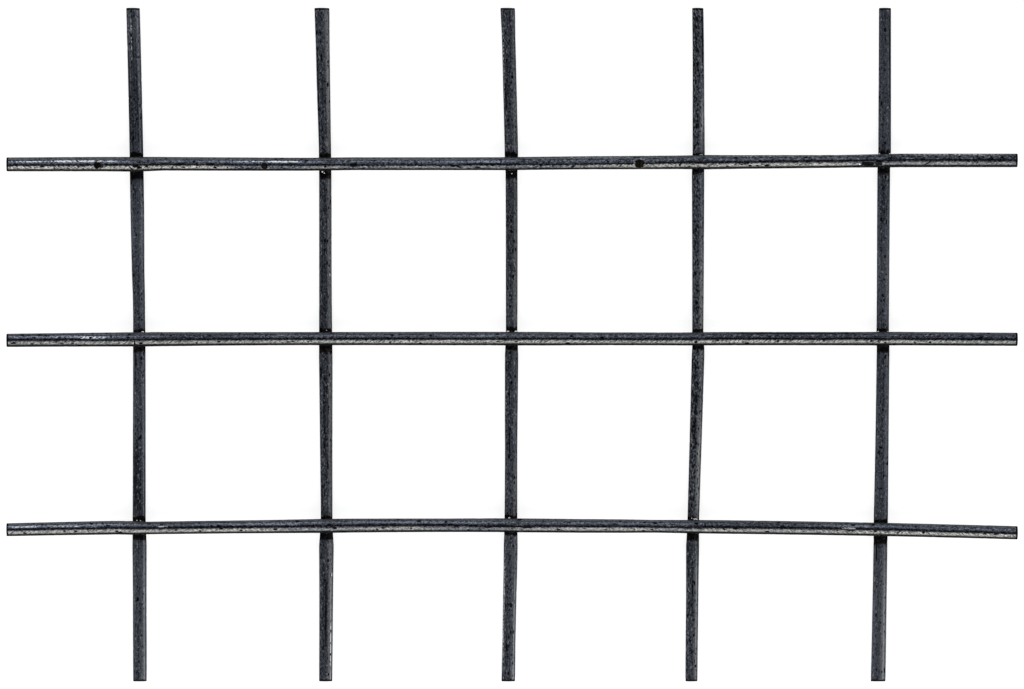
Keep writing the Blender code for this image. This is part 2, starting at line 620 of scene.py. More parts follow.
    def sides_along(self, skin: Skin) -> np.ndarray:
        """Slides the points of the sides back to meet the tilted ends.

        Args:
            skin: the surface.

        Returns:
            The places of the points along the wire.
        """
        along = np.tile(skin.along[:, None], (1, self.sides))
        for side, lean in zip((-1, 1), self.face_leans):
            inward = self.course.half_length - side * skin.along
            share = smooth_step(self.slide, 0.0, inward)[:, None]
            along -= side * share * self.tilt(lean, 1.0)[None, :]
        return along

    def build(self) -> bpy.types.Object:
        """Makes the wire's mesh with its attributes and its UV map.

        Returns:
            The wire, in place.
        """
        skin = self.skin()
        grain = Grain(self.seed + self.FACE_SEED)
        reach = self.outline(skin)
        near_along, near_reach = self.face(0, reach[0], grain)
        far_along, far_reach = self.face(1, reach[-1], grain)
        along = np.concatenate([near_along[::-1], self.sides_along(skin), far_along])
        reach = np.concatenate([near_reach[::-1], reach, far_reach])
        mesh = self.mesh(along, reach)
        pad = len(self.face_rings)
        cut = np.zeros_like(reach)
        cut[:pad], cut[-pad:] = 1.0, 1.0
        marks = np.stack([skin.dark, skin.bright, skin.heat_and_shadow], axis=-1)
        look = self.look
        self.attribute(mesh, "place", self.straightened(along, reach))
        self.attribute(mesh, "marks", np.pad(marks, ((pad, pad), (0, 0), (0, 0))))
        self.attribute(mesh, "bands", self.trends(along, look.pale, look.turned, look.leaning))
        self.attribute(mesh, "tones", self.trends(along, look.sheen, look.specks, look.tone))
        self.attribute(mesh, "cut", cut)
        return add_to_scene(self.name, mesh)

    def outline(self, skin: Skin) -> np.ndarray:
        """Holds the sides back so that they stay in the model's box.

        Args:
            skin: the surface.

        Returns:
            How far out each point of the sides lies.
        """
        facing = np.maximum(np.cos(skin.angle - self.crown_press), self.LEAST_PROUD)
        proud = np.minimum(self.course.radius * (1 / facing - 1), self.proud)
        return self.course.radius + np.minimum(skin.relief, proud[None, :]) - self.end_reach(skin)

    def trends(self, along: np.ndarray, *rows: Trend) -> np.ndarray:
        """The values of trends at places along the wire, in the last axis."""
        return np.stack([follow(along, row) for row in rows], axis=-1)

    def straightened(self, along: np.ndarray, reach: np.ndarray) -> np.ndarray:
        """Places in millimetres as if the wire were straight, each wire at its own start.

        Args:
            along: places of the points along the wire.
            reach: how far out they lie.

        Returns:
            An array with the length, the sideways place and the height in its last axis.
        """
        angle = self.angles()[None, :]
        sideways, up = reach * np.sin(angle), reach * np.cos(angle)
        return np.stack([along + self.seed * self.STARTS_APART, sideways, up], axis=-1) / MM

    def mesh(self, along: np.ndarray, reach: np.ndarray) -> bpy.types.Mesh:
        """Joins the rings into one closed mesh, with a map of the unrolled wire.

        Args:
            along: places of the points along the wire, with a row for each ring.
            reach: how far out they lie.

        Returns:
            The mesh: its quads, and then a fan of triangles at each end.
        """
        rows, sides = reach.shape
        angle = np.tile(self.angles()[None, :], (rows, 1))
        places = self.course.places(along, reach, angle).reshape(-1, 3)
        nothing = np.array(0.0)
        poles = [self.course.places(np.mean(along[row]), nothing, nothing) for row in (0, -1)]
        places = np.concatenate([places, poles])
        row, side = np.meshgrid(np.arange(rows - 1), np.arange(sides), indexing="ij")
        corner_rows = np.stack([row, row, row + 1, row + 1], axis=-1).reshape(-1, 4)
        corner_sides = np.stack([side, side + 1, side + 1, side], axis=-1).reshape(-1, 4)
        quads = corner_rows * sides + corner_sides % sides
        start, end = rows * sides, rows * sides + 1
        around = np.arange(sides)
        ahead = (around + 1) % sides
        last = (rows - 1) * sides
        near_fan = np.stack([np.full(sides, start), ahead, around], axis=-1)
        far_fan = np.stack([np.full(sides, end), last + around, last + ahead], axis=-1)
        mesh = bpy.data.meshes.new(self.name)
        mesh.from_pydata(places.tolist(), [], quads.tolist() + near_fan.tolist() + far_fan.tolist())
        mesh.shade_smooth()
        self.unroll(mesh, along, reach, corner_rows, corner_sides)
        return mesh

    def unroll(
        self,
        mesh: bpy.types.Mesh,
        along: np.ndarray,
        reach: np.ndarray,
        corner_rows: np.ndarray,
        corner_sides: np.ndarray,
    ) -> None:
        """Lays the wire out as strips that fill a square, with its two end faces above them.

        Args:
            mesh: the wire's mesh, with its quads first and then the two fans.
            along: places of the points along the wire.
            reach: how far out the points lie.
            corner_rows: the ring of each corner of each quad.
            corner_sides: the side of each corner, not wrapped round.
        """
        rows, sides = reach.shape
        pad, margin = len(self.face_rings), self.MAP_MARGIN
        girth = math.tau * self.course.radius
        strips = max(1, round(math.sqrt(2 * self.course.half_length / girth)))
        sides_share = strips * girth / (strips * girth + self.DISC_ROOM * self.course.radius)
        faces_share = 1 - sides_share
        travel = np.clip((along.mean(axis=1) / self.course.half_length + 1) / 2, 0, 1) * strips
        strip = np.minimum(np.floor(travel[corner_rows[:, :1]]), strips - 1)
        across = np.clip(travel[corner_rows] - strip, 0, 1) * (1 - 2 * margin) + margin
        up = strip + margin * strips + (1 - 2 * margin * strips) * corner_sides / sides
        on_sides = np.stack([across, up / strips * sides_share], axis=-1)

        middle = np.array([faces_share, 1 - faces_share / 2])
        far_middle = middle * (self.FAR_DISC, 1)
        disc = faces_share / 2 * self.DISC_SHARE
        share = reach / self.course.radius * disc
        turn = np.broadcast_to(self.angles(), share.shape)
        out = np.stack([share * np.sin(turn), share * np.cos(turn)], axis=-1)
        on_near_face = (corner_rows[:, :1] < pad)[..., None]
        on_far_face = (corner_rows[:, 2:3] >= rows - pad)[..., None]
        on_face = np.where(on_near_face, middle, far_middle) + out[corner_rows, corner_sides % sides]
        quads = np.where(on_near_face | on_far_face, on_face, on_sides)

        fans = []
        for row, pole, steps in ((0, middle, (1, 0)), (rows - 1, far_middle, (0, 1))):
            rim = [pole + out[row, (np.arange(sides) + step) % sides] for step in steps]
            fans.append(np.stack([np.tile(pole, (sides, 1)), *rim], axis=1).reshape(-1, 2))
        uv = np.concatenate([quads.reshape(-1, 2), *fans])
        layer = mesh.uv_layers.new(name="OFBake")
        layer.uv.foreach_set("vector", uv.astype(np.float32).ravel())

    def attribute(self, mesh: bpy.types.Mesh, name: str, values: np.ndarray) -> None:
        """Stores a number or a vector for each point. The two poles take the value beside them.

        Args:
            mesh: the wire's mesh.
            name: the name that the finish reads it by.
            values: a row for each ring and a column for each side.
        """
        poles = [values[row].mean(axis=0)[None] for row in (0, -1)]
        values_of_points = np.concatenate([values.reshape(-1, *values.shape[2:]), *poles])
        kind, member = ("FLOAT_VECTOR", "vector") if values.ndim == 3 else ("FLOAT", "value")
        layer = mesh.attributes.new(name, kind, "POINT")
        layer.data.foreach_set(member, values_of_points.astype(np.float32).ravel())


@dataclass
class LineWire(Wire):
    """A wire underneath. Its weld metal climbs up to the cross wires, and it is scorched there, with the
    cross wires' shadows painted on it.
    """

    partners: tuple[Course, ...] = ()
    fillet: float = 0.75 * MM
    fillet_uneven: float = 0.35
    fillet_bumps: Bumps = (0.9 * MM, 14)
    fillet_steps: int = 26
    scorch_and_shadow_spread: tuple[float, float] = (0.45, 1.5)  # shares of a reach: full, and gone
    scorch_and_shadow_past: float = 0.3 * MM
    scorch_and_shadow_ragged: tuple[tuple[float, Bumps], ...] = (
        (0.35 * MM, (1.5 * MM, 7)),
        (0.30 * MM, (0.6 * MM, 16)),
    )

    FILLET_SEED: ClassVar[int] = 900

    def press(self, skin: Skin) -> None:
        """Adds the scorch of the welds, with the cross wires' painted shadows, to the electrode's flats.

        Args:
            skin: the surface, which is changed.
        """
        super().press(skin)
        ragged = sum(size * skin.waves(bumps) for size, bumps in self.scorch_and_shadow_ragged)
        full, gone = self.scorch_and_shadow_spread
        for weld, partner, scorch_and_shadow in zip(self.welds, self.partners, self.look.scorches_and_shadows):
            past = np.abs(skin.along - weld)[:, None] - partner.radius + ragged
            reach = np.where(skin.along < weld, scorch_and_shadow.front, scorch_and_shadow.back)[:, None] * MM
            scorched_and_shaded = smooth_step(gone * reach + self.scorch_and_shadow_past, full * reach, past)
            skin.heat_and_shadow = np.maximum(skin.heat_and_shadow, scorched_and_shaded)

    def fillets(self, skin: Skin) -> np.ndarray:
        """Finds how far weld metal raises the surface under each cross wire.

        Each point is moved out in small steps for as long as it is inside the smooth union of the
        two wires.

        Args:
            skin: the surface.

        Returns:
            The rise of each point.
        """
        lift = np.zeros_like(skin.relief)
        grain = Grain(self.seed + self.FILLET_SEED)
        uneven = grain.waves(skin.along, skin.angle, self.fillet_bumps)
        width = self.fillet * (1 + self.fillet_uneven * uneven)
        tries = np.linspace(0.0, self.fillet, self.fillet_steps)
        for weld, partner in zip(self.welds, self.partners):
            rows = np.nonzero(np.abs(skin.along - weld) < partner.radius + 2 * self.fillet)[0]
            along, angle = skin.along[rows][:, None, None], skin.angle[None, :, None]
            reach = self.course.radius + tries[None, None, :]
            places = self.course.places(along, reach, angle)
            sideways = places[..., partner.run.aside] - partner.aside(places[..., partner.run.along])
            away = np.hypot(sideways, places[..., 2] - partner.height) - partner.radius
            own = np.broadcast_to(tries[None, None, :], away.shape)
            blend = width[rows][:, :, None]
            overlap = np.maximum(blend - np.abs(own - away), 0.0) / blend
            depth = np.minimum(own, away) - overlap**2 * blend / 4
            inside = depth < 0
            steps = np.where(inside.all(axis=2), self.fillet_steps - 1, np.argmin(inside, axis=2))
            lift[rows] = np.maximum(lift[rows], tries[steps])
        return lift

    def outline(self, skin: Skin) -> np.ndarray:
        """Adds the weld metal, which may stand further out than the wire.

        Args:
            skin: the surface.

        Returns:
            How far out each point of the sides lies.
        """
        outline, lift = super().outline(skin), self.fillets(skin)
        raised = self.course.radius + lift + np.minimum(skin.relief, 0.0)
        return np.where(lift > 0, np.maximum(outline, raised), outline)


@dataclass
class CrossWire(Wire):
    """A wire on top, which the welder pressed into the line wires."""

    sides: int = 72
    oval: float = 0.035 * MM


@dataclass
class WeldFlash:
    """The lip of metal that a weld squeezed out between two wires."""

    name: str
    middle: Triple
    seed: int
    half_width: tuple[float, float] = (1.98 * MM, 2.02 * MM)
    half_height: float = 0.62 * MM
    around: int = 72
    bands: int = 14
    ragged: float = 0.09
    ripples: range = range(2, 15)  # how many times each one goes in and out round the lip
    ripple_sizes: tuple[float, float] = (0.3, 1.0)
    lumps: tuple[int, int] = (5, 3)  # how many times the two factors go up and down round it
    lump_share: float = 2.2  # how much stronger they are than the ripples

    def build(self) -> bpy.types.Object:
        """Makes a flat, ragged lens of metal.

        Returns:
            The lens, in place.
        """
        draws = np.random.default_rng(self.seed)
        lens = bmesh.new()
        bmesh.ops.create_uvsphere(lens, u_segments=self.around, v_segments=self.bands, radius=1.0)
        waves = [
            (count, draws.uniform(0, math.tau), draws.uniform(*self.ripple_sizes) / math.sqrt(count))
            for count in self.ripples
        ]
        for vertex in lens.verts:
            turn = math.atan2(vertex.co.y, vertex.co.x)
            ripple = sum(size * math.sin(count * turn + start) for count, start, size in waves)
            out = 1 + self.ragged * ripple / 2
            lump = self.lump_share * self.ragged
            for count, (_, start, _) in zip(self.lumps, waves):
                lump *= math.sin(count * turn + start)
            vertex.co.x *= self.half_width[0] * out
            vertex.co.y *= self.half_width[1] * out
            vertex.co.z *= self.half_height * (1 + lump)
        bmesh.ops.translate(lens, vec=self.middle, verts=lens.verts)
        mesh = mesh_of(self.name, lens)
        mesh.shade_smooth()
        return add_to_scene(self.name, mesh)


@dataclass(frozen=True)
class Bead:
    """A droplet of weld metal that stuck beside a cross wire."""

    line: int
    cross: int
    x: float  # millimetres from the crossing
    y: float
    size: float  # millimetres across
    stretch: float = 1.0  # how much longer it is along the cross wire


@dataclass
class Spatter:
    """All the droplets of weld metal, joined in one mesh."""

    name: str
    beads: tuple[Bead, ...]
    seed: int
    roundness: int = 3
    flatten: float = 0.7
    lumpy: float = 0.10
    lumpy_below: float = 0.5  # the share of that on the lower half
    crown_width: float = 3.6  # millimetres: a bead x off the crown sits x * x / this lower

    def build(self, crossings: dict[tuple[int, int], tuple[float, float]], crown: float) -> bpy.types.Object:
        """Sets every bead on the crown of its line wire.

        Args:
            crossings: where each line wire and cross wire meet.
            crown: the height of the line wires' crown.

        Returns:
            The joined mesh.
        """
        draws = np.random.default_rng(self.seed)
        drops = bmesh.new()
        for bead in self.beads:
            x, y = crossings[bead.line, bead.cross]
            drop = bmesh.ops.create_icosphere(
                drops, subdivisions=self.roundness, radius=bead.size / 2 * MM
            )["verts"]
            for vertex in drop:
                share = 1 if vertex.co.z > 0 else self.lumpy_below
                vertex.co *= 1 + self.lumpy * draws.uniform(-1, 1) * share
                vertex.co.z *= self.flatten
                vertex.co.x *= bead.stretch
            height = crown - bead.x**2 / self.crown_width * MM
            place = Vector((x + bead.x * MM, y + bead.y * MM, height))
            bmesh.ops.translate(drops, vec=place, verts=drop)
        mesh = mesh_of(self.name, drops)
        mesh.shade_smooth()
        return add_to_scene(self.name, mesh)


class Link:
    """A node's output, for use in an expression."""

    def __init__(self, graph: "Graph", socket: bpy.types.NodeSocket) -> None:
        """Wraps an output of a node of the graph."""
        self.graph = graph
        self.socket = socket

    def __add__(self, other: "Term") -> "Link":
        """self + other."""
        return self.graph.reckon("ADD", self, other)

    def __radd__(self, other: "Term") -> "Link":
        """other + self."""
        return self.graph.reckon("ADD", other, self)

    def __sub__(self, other: "Term") -> "Link":
        """self - other."""
        return self.graph.reckon("SUBTRACT", self, other)

    def __rsub__(self, other: "Term") -> "Link":
        """other - self."""
        return self.graph.reckon("SUBTRACT", other, self)

    def __mul__(self, other: "Term") -> "Link":
        """self * other."""
        return self.graph.reckon("MULTIPLY", self, other)

    def __rmul__(self, other: "Term") -> "Link":
        """other * self."""
        return self.graph.reckon("MULTIPLY", other, self)


Term = Link | float | Triple


class Graph:
    """A node tree, with short ways to add to it."""

    BUMP_STRENGTH = 0.7

    def __init__(self, tree: bpy.types.NodeTree) -> None:
        """Empties the tree of a material or a world."""
        self.tree = tree
        tree.nodes.clear()

    def node(
        self, kind: str, settings: dict[str, Any], sockets: dict[str, Any], out: str = ""
    ) -> Link | None:
        """Adds a node.

        Args:
            kind: the node's type.
            settings: its properties, which are set first.
            sockets: a value or a link for each input, by its identifier.
            out: the identifier of the output to return, or nothing for the first.

        Returns:
            The output, or None for a node that ends the tree.
        """
        made = self.tree.nodes.new(kind)
        for name, value in settings.items():
            setattr(made, name, value)
        for name, value in sockets.items():
            socket = next(entry for entry in made.inputs if entry.identifier == name)
            if isinstance(value, Link):
                self.tree.links.new(value.socket, socket)
            elif socket.type == "RGBA":
                socket.default_value = (*value, 1.0)
            else:
                socket.default_value = value
        outputs = [entry for entry in made.outputs if entry.identifier == out or not out]
        return Link(self, outputs[0]) if outputs else None

    @staticmethod
    def is_number(term: Term) -> bool:
        """Whether a term is one number, and not a colour or a vector."""
        return term.socket.type == "VALUE" if isinstance(term, Link) else isinstance(term, (int, float))

    def reckon(self, operation: str, first: Term, second: Term) -> Link:
        """One step of arithmetic on numbers, or on colours and vectors.

        Args:
            operation: the name that the Math and Vector Math nodes share.
            first: the left side.
            second: the right side.

        Returns:
            The result.
        """
        settings = {"operation": operation}
        if self.is_number(first) and self.is_number(second):
            return self.node("ShaderNodeMath", settings, {"Value": first, "Value_001": second})
        first, second = ((term,) * 3 if isinstance(term, (int, float)) else term for term in (first, second))
        return self.node("ShaderNodeVectorMath", settings, {"Vector": first, "Vector_001": second})

    def blend(self, first: Term, second: Term, share: Term) -> Link:
        """Mixes two colours.

        Args:
            first: the colour at share 0.
            second: the colour at share 1.
            share: of the second, held between 0 and 1.

        Returns:
            The colour.
        """
        settings = {"data_type": "RGBA", "clamp_factor": True}
        sockets = {"A_Color": first, "B_Color": second, "Factor_Float": share}
        return self.node("ShaderNodeMix", settings, sockets, "Result_Color")

    def rise(self, value: Link, low: float, high: float) -> Link:
        """A soft step.

        Args:
            value: what is stepped.
            low: where the step starts.
            high: where it ends.

        Returns:
            0 before low, 1 past high and a smooth rise between them.
        """
        settings = {"interpolation_type": "SMOOTHSTEP", "clamp": True}
        sockets = {"Value": value, "From Min": low, "From Max": high}
        return self.node("ShaderNodeMapRange", settings, sockets, "Result")

    def band(self, value: Link, low: float, high: float, soft: float) -> Link:
        """1 between low and high, with edges that are soft over twice the last number."""
        return self.rise(value, low - soft, low + soft) * (1.0 - self.rise(value, high - soft, high + soft))

    def noise(self, place: Link, scale: float, detail: float = 2.0, roughness: float = 0.5) -> Link:
        """Noise from about 0 to 1, with scale bumps to each unit of place."""
        sockets = {"Vector": place, "Scale": scale, "Detail": detail, "Roughness": roughness}
        return self.node("ShaderNodeTexNoise", {"noise_dimensions": "3D"}, sockets, "Fac")

    def attribute(self, name: str, out: str = "Vector") -> Link:
        """What the mesh carries under a name."""
        return self.node("ShaderNodeAttribute", {"attribute_name": name}, {}, out)

    def parts(self, vector: Link) -> tuple[Link, Link, Link]:
        """The three numbers of a vector."""
        split = self.node("ShaderNodeSeparateXYZ", {}, {"Vector": vector}, "X")
        return tuple(Link(self, split.socket.node.outputs[name]) for name in "XYZ")

    def finish(self, kind: str, surface: Link) -> None:
        """Ends the tree in its output node."""
        self.node(kind, {}, {"Surface": surface})

    def surface(self, sockets: dict[str, Any], height: Link, depth: float) -> None:
        """Ends a material's tree in a surface with a bump.

        Args:
            sockets: a value or a link for each input of the surface.
            height: what the bump follows.
            depth: how high it stands, in metres.
        """
        sizes = {"Height": height, "Strength": self.BUMP_STRENGTH, "Distance": depth}
        bump = self.node("ShaderNodeBump", {}, sizes, "Normal")
        surface = self.node("ShaderNodeBsdfPrincipled", {}, {**sockets, "Normal": bump}, "BSDF")
        self.finish("ShaderNodeOutputMaterial", surface)


def new_material(name: str) -> tuple[bpy.types.Material, Graph]:
    """Starts a material.

    Args:
        name: of the material.

    Returns:
        The material and its graph, which is empty.
    """
    material = bpy.data.materials.new(name)
    material.use_nodes = True
    return material, Graph(material.node_tree)


@dataclass(frozen=True)
class Grounds:
    """The noises and places that every layer of a wire's finish is worked out from."""

    place: Link  # millimetres on the straightened wire
    angle: Link  # degrees round the wire from its crown
    turned: Link  # degrees by which the bands are turned
    pale: Link
    sheen: Link
    specks: Link
    tone: Link
    grit: Link
    mottle: Link
    streaks: Link
    weave: Link


@dataclass(frozen=True)
class WireFinish:
    """Dark drawn steel with its mill scale on, which both runs of wire share, with painted light: a lighter
    flank, a highlight streak and a shaded flank.
    """

    name: str
    scale: Colour = (0.046, 0.052, 0.066)
    scale_light: Colour = (0.155, 0.172, 0.208)
    scale_dark: Colour = (0.006, 0.007, 0.012)
    speck_light: Colour = (0.36, 0.36, 0.37)
    speck_dark: Colour = (0.003, 0.003, 0.004)
    die_line: Colour = (0.016, 0.016, 0.020)
    # painted light: the lighter +X flank of a line wire
    painted_light_flank: Colour = (0.175, 0.175, 0.170)
    pit: Colour = (0.004, 0.004, 0.004)
    rust: Colour = (0.020, 0.0155, 0.011)
    # lighter crusts and rims, and the painted highlight of SHINE marks
    burnished_and_highlight: Colour = (0.70, 0.72, 0.75)
    scorch_and_shadow: Colour = (0.0015, 0.0015, 0.002)
    scorch_brown: Colour = (0.026, 0.021, 0.011)
    slid: Colour = (0.24, 0.237, 0.23)
    torn: Colour = (0.105, 0.10, 0.095)
    torn_dark: Colour = (0.03, 0.028, 0.027)
    # painted highlight streak on that flank
    painted_highlight_colour: Colour = (0.42, 0.44, 0.48)

    calm_span: Span = (5.0, 72.0, 10.0)
    shaded_span: Span = (-48.0, -14.0, 12.0)
    painted_light_flank_span: Span = (16.0, 62.0, 8.0)
    painted_highlight_span: Span = (36.0, 50.0, 2.5)
    speckled_span: Span = (-80.0, 2.0, 8.0)

    grit_noise: Noise = (2.6, 3.0, 0.55)
    mottle_noise: Noise = (1.2, 3.0, 0.6)
    drawn_noise: Noise = (1.0, 1.0, 0.5)
    speck_noise: Noise = (2.2, 2.0, 0.5)
    drag_noise: Noise = (1.0, 2.0, 0.5)
    streaks_drawn_out: Triple = (0.04, 2.3, 2.3)
    weave_drawn_out: Triple = (0.85, 3.3, 3.3)
    specks_drawn_out: Triple = (0.62, 1.0, 1.0)
    specks_start: Triple = (7.3, 1.7, 4.1)
    drag_drawn_out: Triple = (1.0, 7.0, 0.8)

    painted_highlight_share: float = 0.9
    shaded_side: float = 0.25
    drawn_lines: float = 0.44  # the share of long lines in the steel's unevenness
    grain: float = 0.34  # the share of fine grain in it
    calm_flank: float = 0.40  # how much of the grain the flank that turns to growing angles lacks
    speckled_side: float = 0.7  # how unevenly the dark specks are shared out between the flanks
    rim_tint: float = 0.4  # how much of its brightness the steel keeps at grazing angles
    roughness: float = 0.42
    bump_depth: float = 0.03 * MM
    weave_slant: float = 36.0  # degrees

    def material(self) -> bpy.types.Material:
        """Builds the finish.

        Returns:
            The material.
        """
        material, graph = new_material(self.name)
        grounds = self.grounds(graph)
        dark, bright, heat_and_shadow = graph.parts(graph.attribute("marks"))
        cut = graph.attribute("cut", "Fac")
        colour, height, rough = self.steel(graph, grounds)
        # Painted highlight dashes of SHINE marks, and the lighter crusts and rims
        shine = graph.rise(bright * (grounds.weave * 3.2 - 0.7), 0.40, 0.85)
        colour = graph.blend(colour, self.burnished_and_highlight, shine)
        # Scorch near the welds, with the cross wires' painted shadow in it
        burnt = graph.rise(heat_and_shadow + (grounds.mottle + grounds.grit - 1.0) * 0.8, 0.25, 0.70)
        scorch_and_shadow = graph.blend(self.scorch_and_shadow, self.scorch_brown, graph.rise(grounds.mottle, 0.52, 0.68))
        colour = graph.blend(colour, scorch_and_shadow, burnt * 0.95)
        dark_marks_and_navy_reflection = graph.rise(dark + (grounds.grit - 0.5) * 0.7, 0.22, 0.60)
        rusty = graph.rise(grounds.mottle, 0.44, 0.62) * graph.rise(dark, 0.80, 1.0)
        colour = graph.blend(colour, graph.blend(self.pit, self.rust, rusty), dark_marks_and_navy_reflection)
        sockets = {
            "Base Color": graph.blend(colour, self.sheared(graph, grounds), cut),
            "Metallic": 1.0,
            "Specular Tint": (self.rim_tint,) * 3,
            "Roughness": rough + dark_marks_and_navy_reflection * 0.2 + burnt * 0.12,
        }
        graph.surface(sockets, height, self.bump_depth)
        return material

    def grounds(self, graph: Graph) -> Grounds:
        """Reads what the mesh carries, and lays the noises over it.

        Args:
            graph: of the material.

        Returns:
            The noises and places.
        """
        place = graph.attribute("place")
        _, sideways, up = graph.parts(place)
        pale, turned, leaning = graph.parts(graph.attribute("bands"))
        sheen, specks, tone = graph.parts(graph.attribute("tones"))
        turn = graph.node("ShaderNodeMath", {"operation": "ARCTAN2"}, {"Value": sideways, "Value_001": up})
        return Grounds(
            place=place,
            angle=turn * math.degrees(1.0),
            turned=turned,
            pale=pale,
            sheen=sheen,
            specks=specks,
            tone=tone,
            grit=graph.noise(place, *self.grit_noise),
            mottle=graph.noise(place, *self.mottle_noise),
            streaks=graph.noise(place * self.streaks_drawn_out, *self.drawn_noise),
            weave=self.weave(graph, place, leaning),
        )

    def sheared(self, graph: Graph, grounds: Grounds) -> Link:
        """Colours the sheared ends: burnished where the blade slid, and rough where the steel tore.

        Args:
            graph: of the material.
            grounds: the noises and places to work from.

        Returns:
            The colour.
        """
        _, sideways, up = graph.parts(grounds.place)
        drag = graph.noise(grounds.place * self.drag_drawn_out, *self.drag_noise)
        slid = graph.blend(self.torn, self.slid, graph.rise(drag, 0.35, 0.60))
        torn = graph.blend(self.torn_dark, self.torn, graph.rise(grounds.grit, 0.38, 0.58))
        beyond = graph.rise(sideways * 0.4 - up + (grounds.mottle - 0.5) * 1.6, -0.1, 0.25)
        return graph.blend(slid, torn, beyond)

    def weave(self, graph: Graph, place: Link, leaning: Link) -> Link:
        """Short dashes that lean across the wire, as a chattering die leaves them.

        Args:
            graph: of the material.
            place: millimetres on the straightened wire.
            leaning: 0 for dashes that lean back, 1 for dashes that lean on.

        Returns:
            Noise from about 0 to 1.
        """
        dashes = []
        for slant in (self.weave_slant, -self.weave_slant):
            sockets = {"Vector": place, "Angle": math.radians(slant)}
            turned = graph.node("ShaderNodeVectorRotate", {"rotation_type": "Z_AXIS"}, sockets)
            dashes.append(graph.noise(turned * self.weave_drawn_out, *self.drawn_noise))
        return dashes[0] + (dashes[1] - dashes[0]) * leaning

    def steel(self, graph: Graph, grounds: Grounds) -> tuple[Link, Link, Link]:
        """The steel before heat and marks, with a painted lighter flank, highlight streak and shaded flank.

        Args:
            graph: of the material.
            grounds: the noises and places to work from.

        Returns:
            Its colour, the height for its bump and its roughness.
        """
        calm = graph.band(grounds.angle, *self.calm_span) * self.calm_flank
        grit = grounds.grit + (0.5 - grounds.grit) * calm
        weave = grounds.weave + (0.5 - grounds.weave) * calm
        coarse = grounds.streaks * self.drawn_lines + grounds.mottle * 0.10
        uneven = coarse + grit * self.grain + weave * 0.21 + grounds.tone
        tone = graph.blend(self.scale_dark, self.scale_light, graph.rise(uneven, 0.455, 0.675))
        colour = graph.blend(self.scale, tone, 0.85)
        shaded = graph.band(grounds.angle, *self.shaded_span) * self.shaded_side
        colour = graph.blend(colour, self.scale_dark, shaded)
        lines = graph.rise(grounds.streaks, 0.57, 0.65)
        colour = graph.blend(colour, self.die_line, lines * 0.5)
        light_lines = 1.0 - graph.rise(grounds.streaks, 0.35, 0.42)
        colour = graph.blend(colour, self.scale_light, light_lines * 0.4)
        patchy = 0.55 + graph.rise(uneven, 0.425, 0.665) * 0.45
        # Painted light on the +X flank: a lighter band and a highlight streak
        turn = grounds.angle - grounds.turned
        flank = graph.band(turn, *self.painted_light_flank_span)
        colour = graph.blend(colour, self.painted_light_flank, flank * patchy * grounds.pale)
        painted_highlight = graph.band(turn + (grounds.weave - 0.5) * 8.0, *self.painted_highlight_span)
        colour = graph.blend(colour, self.painted_highlight_colour, painted_highlight * patchy * grounds.sheen * self.painted_highlight_share)
        specks = graph.noise(grounds.place * self.specks_drawn_out + self.specks_start, *self.speck_noise)
        side = graph.band(grounds.angle, *self.speckled_span) - 0.5
        speckled = grounds.specks * (1.0 + side * self.speckled_side)
        dark_specks = 1.0 - graph.rise(specks - speckled * 0.048, 0.31, 0.36)
        colour = graph.blend(colour, self.speck_dark, dark_specks * 0.9)
        light_specks = graph.rise(specks + grounds.specks * 0.02, 0.645, 0.70)
        colour = graph.blend(colour, self.speck_light, light_specks * 0.5)
        height = grounds.grit * 0.8 + grounds.mottle - lines * 0.5
        rough = self.roughness + (grounds.mottle - 0.5) * 0.3
        return colour, height, rough


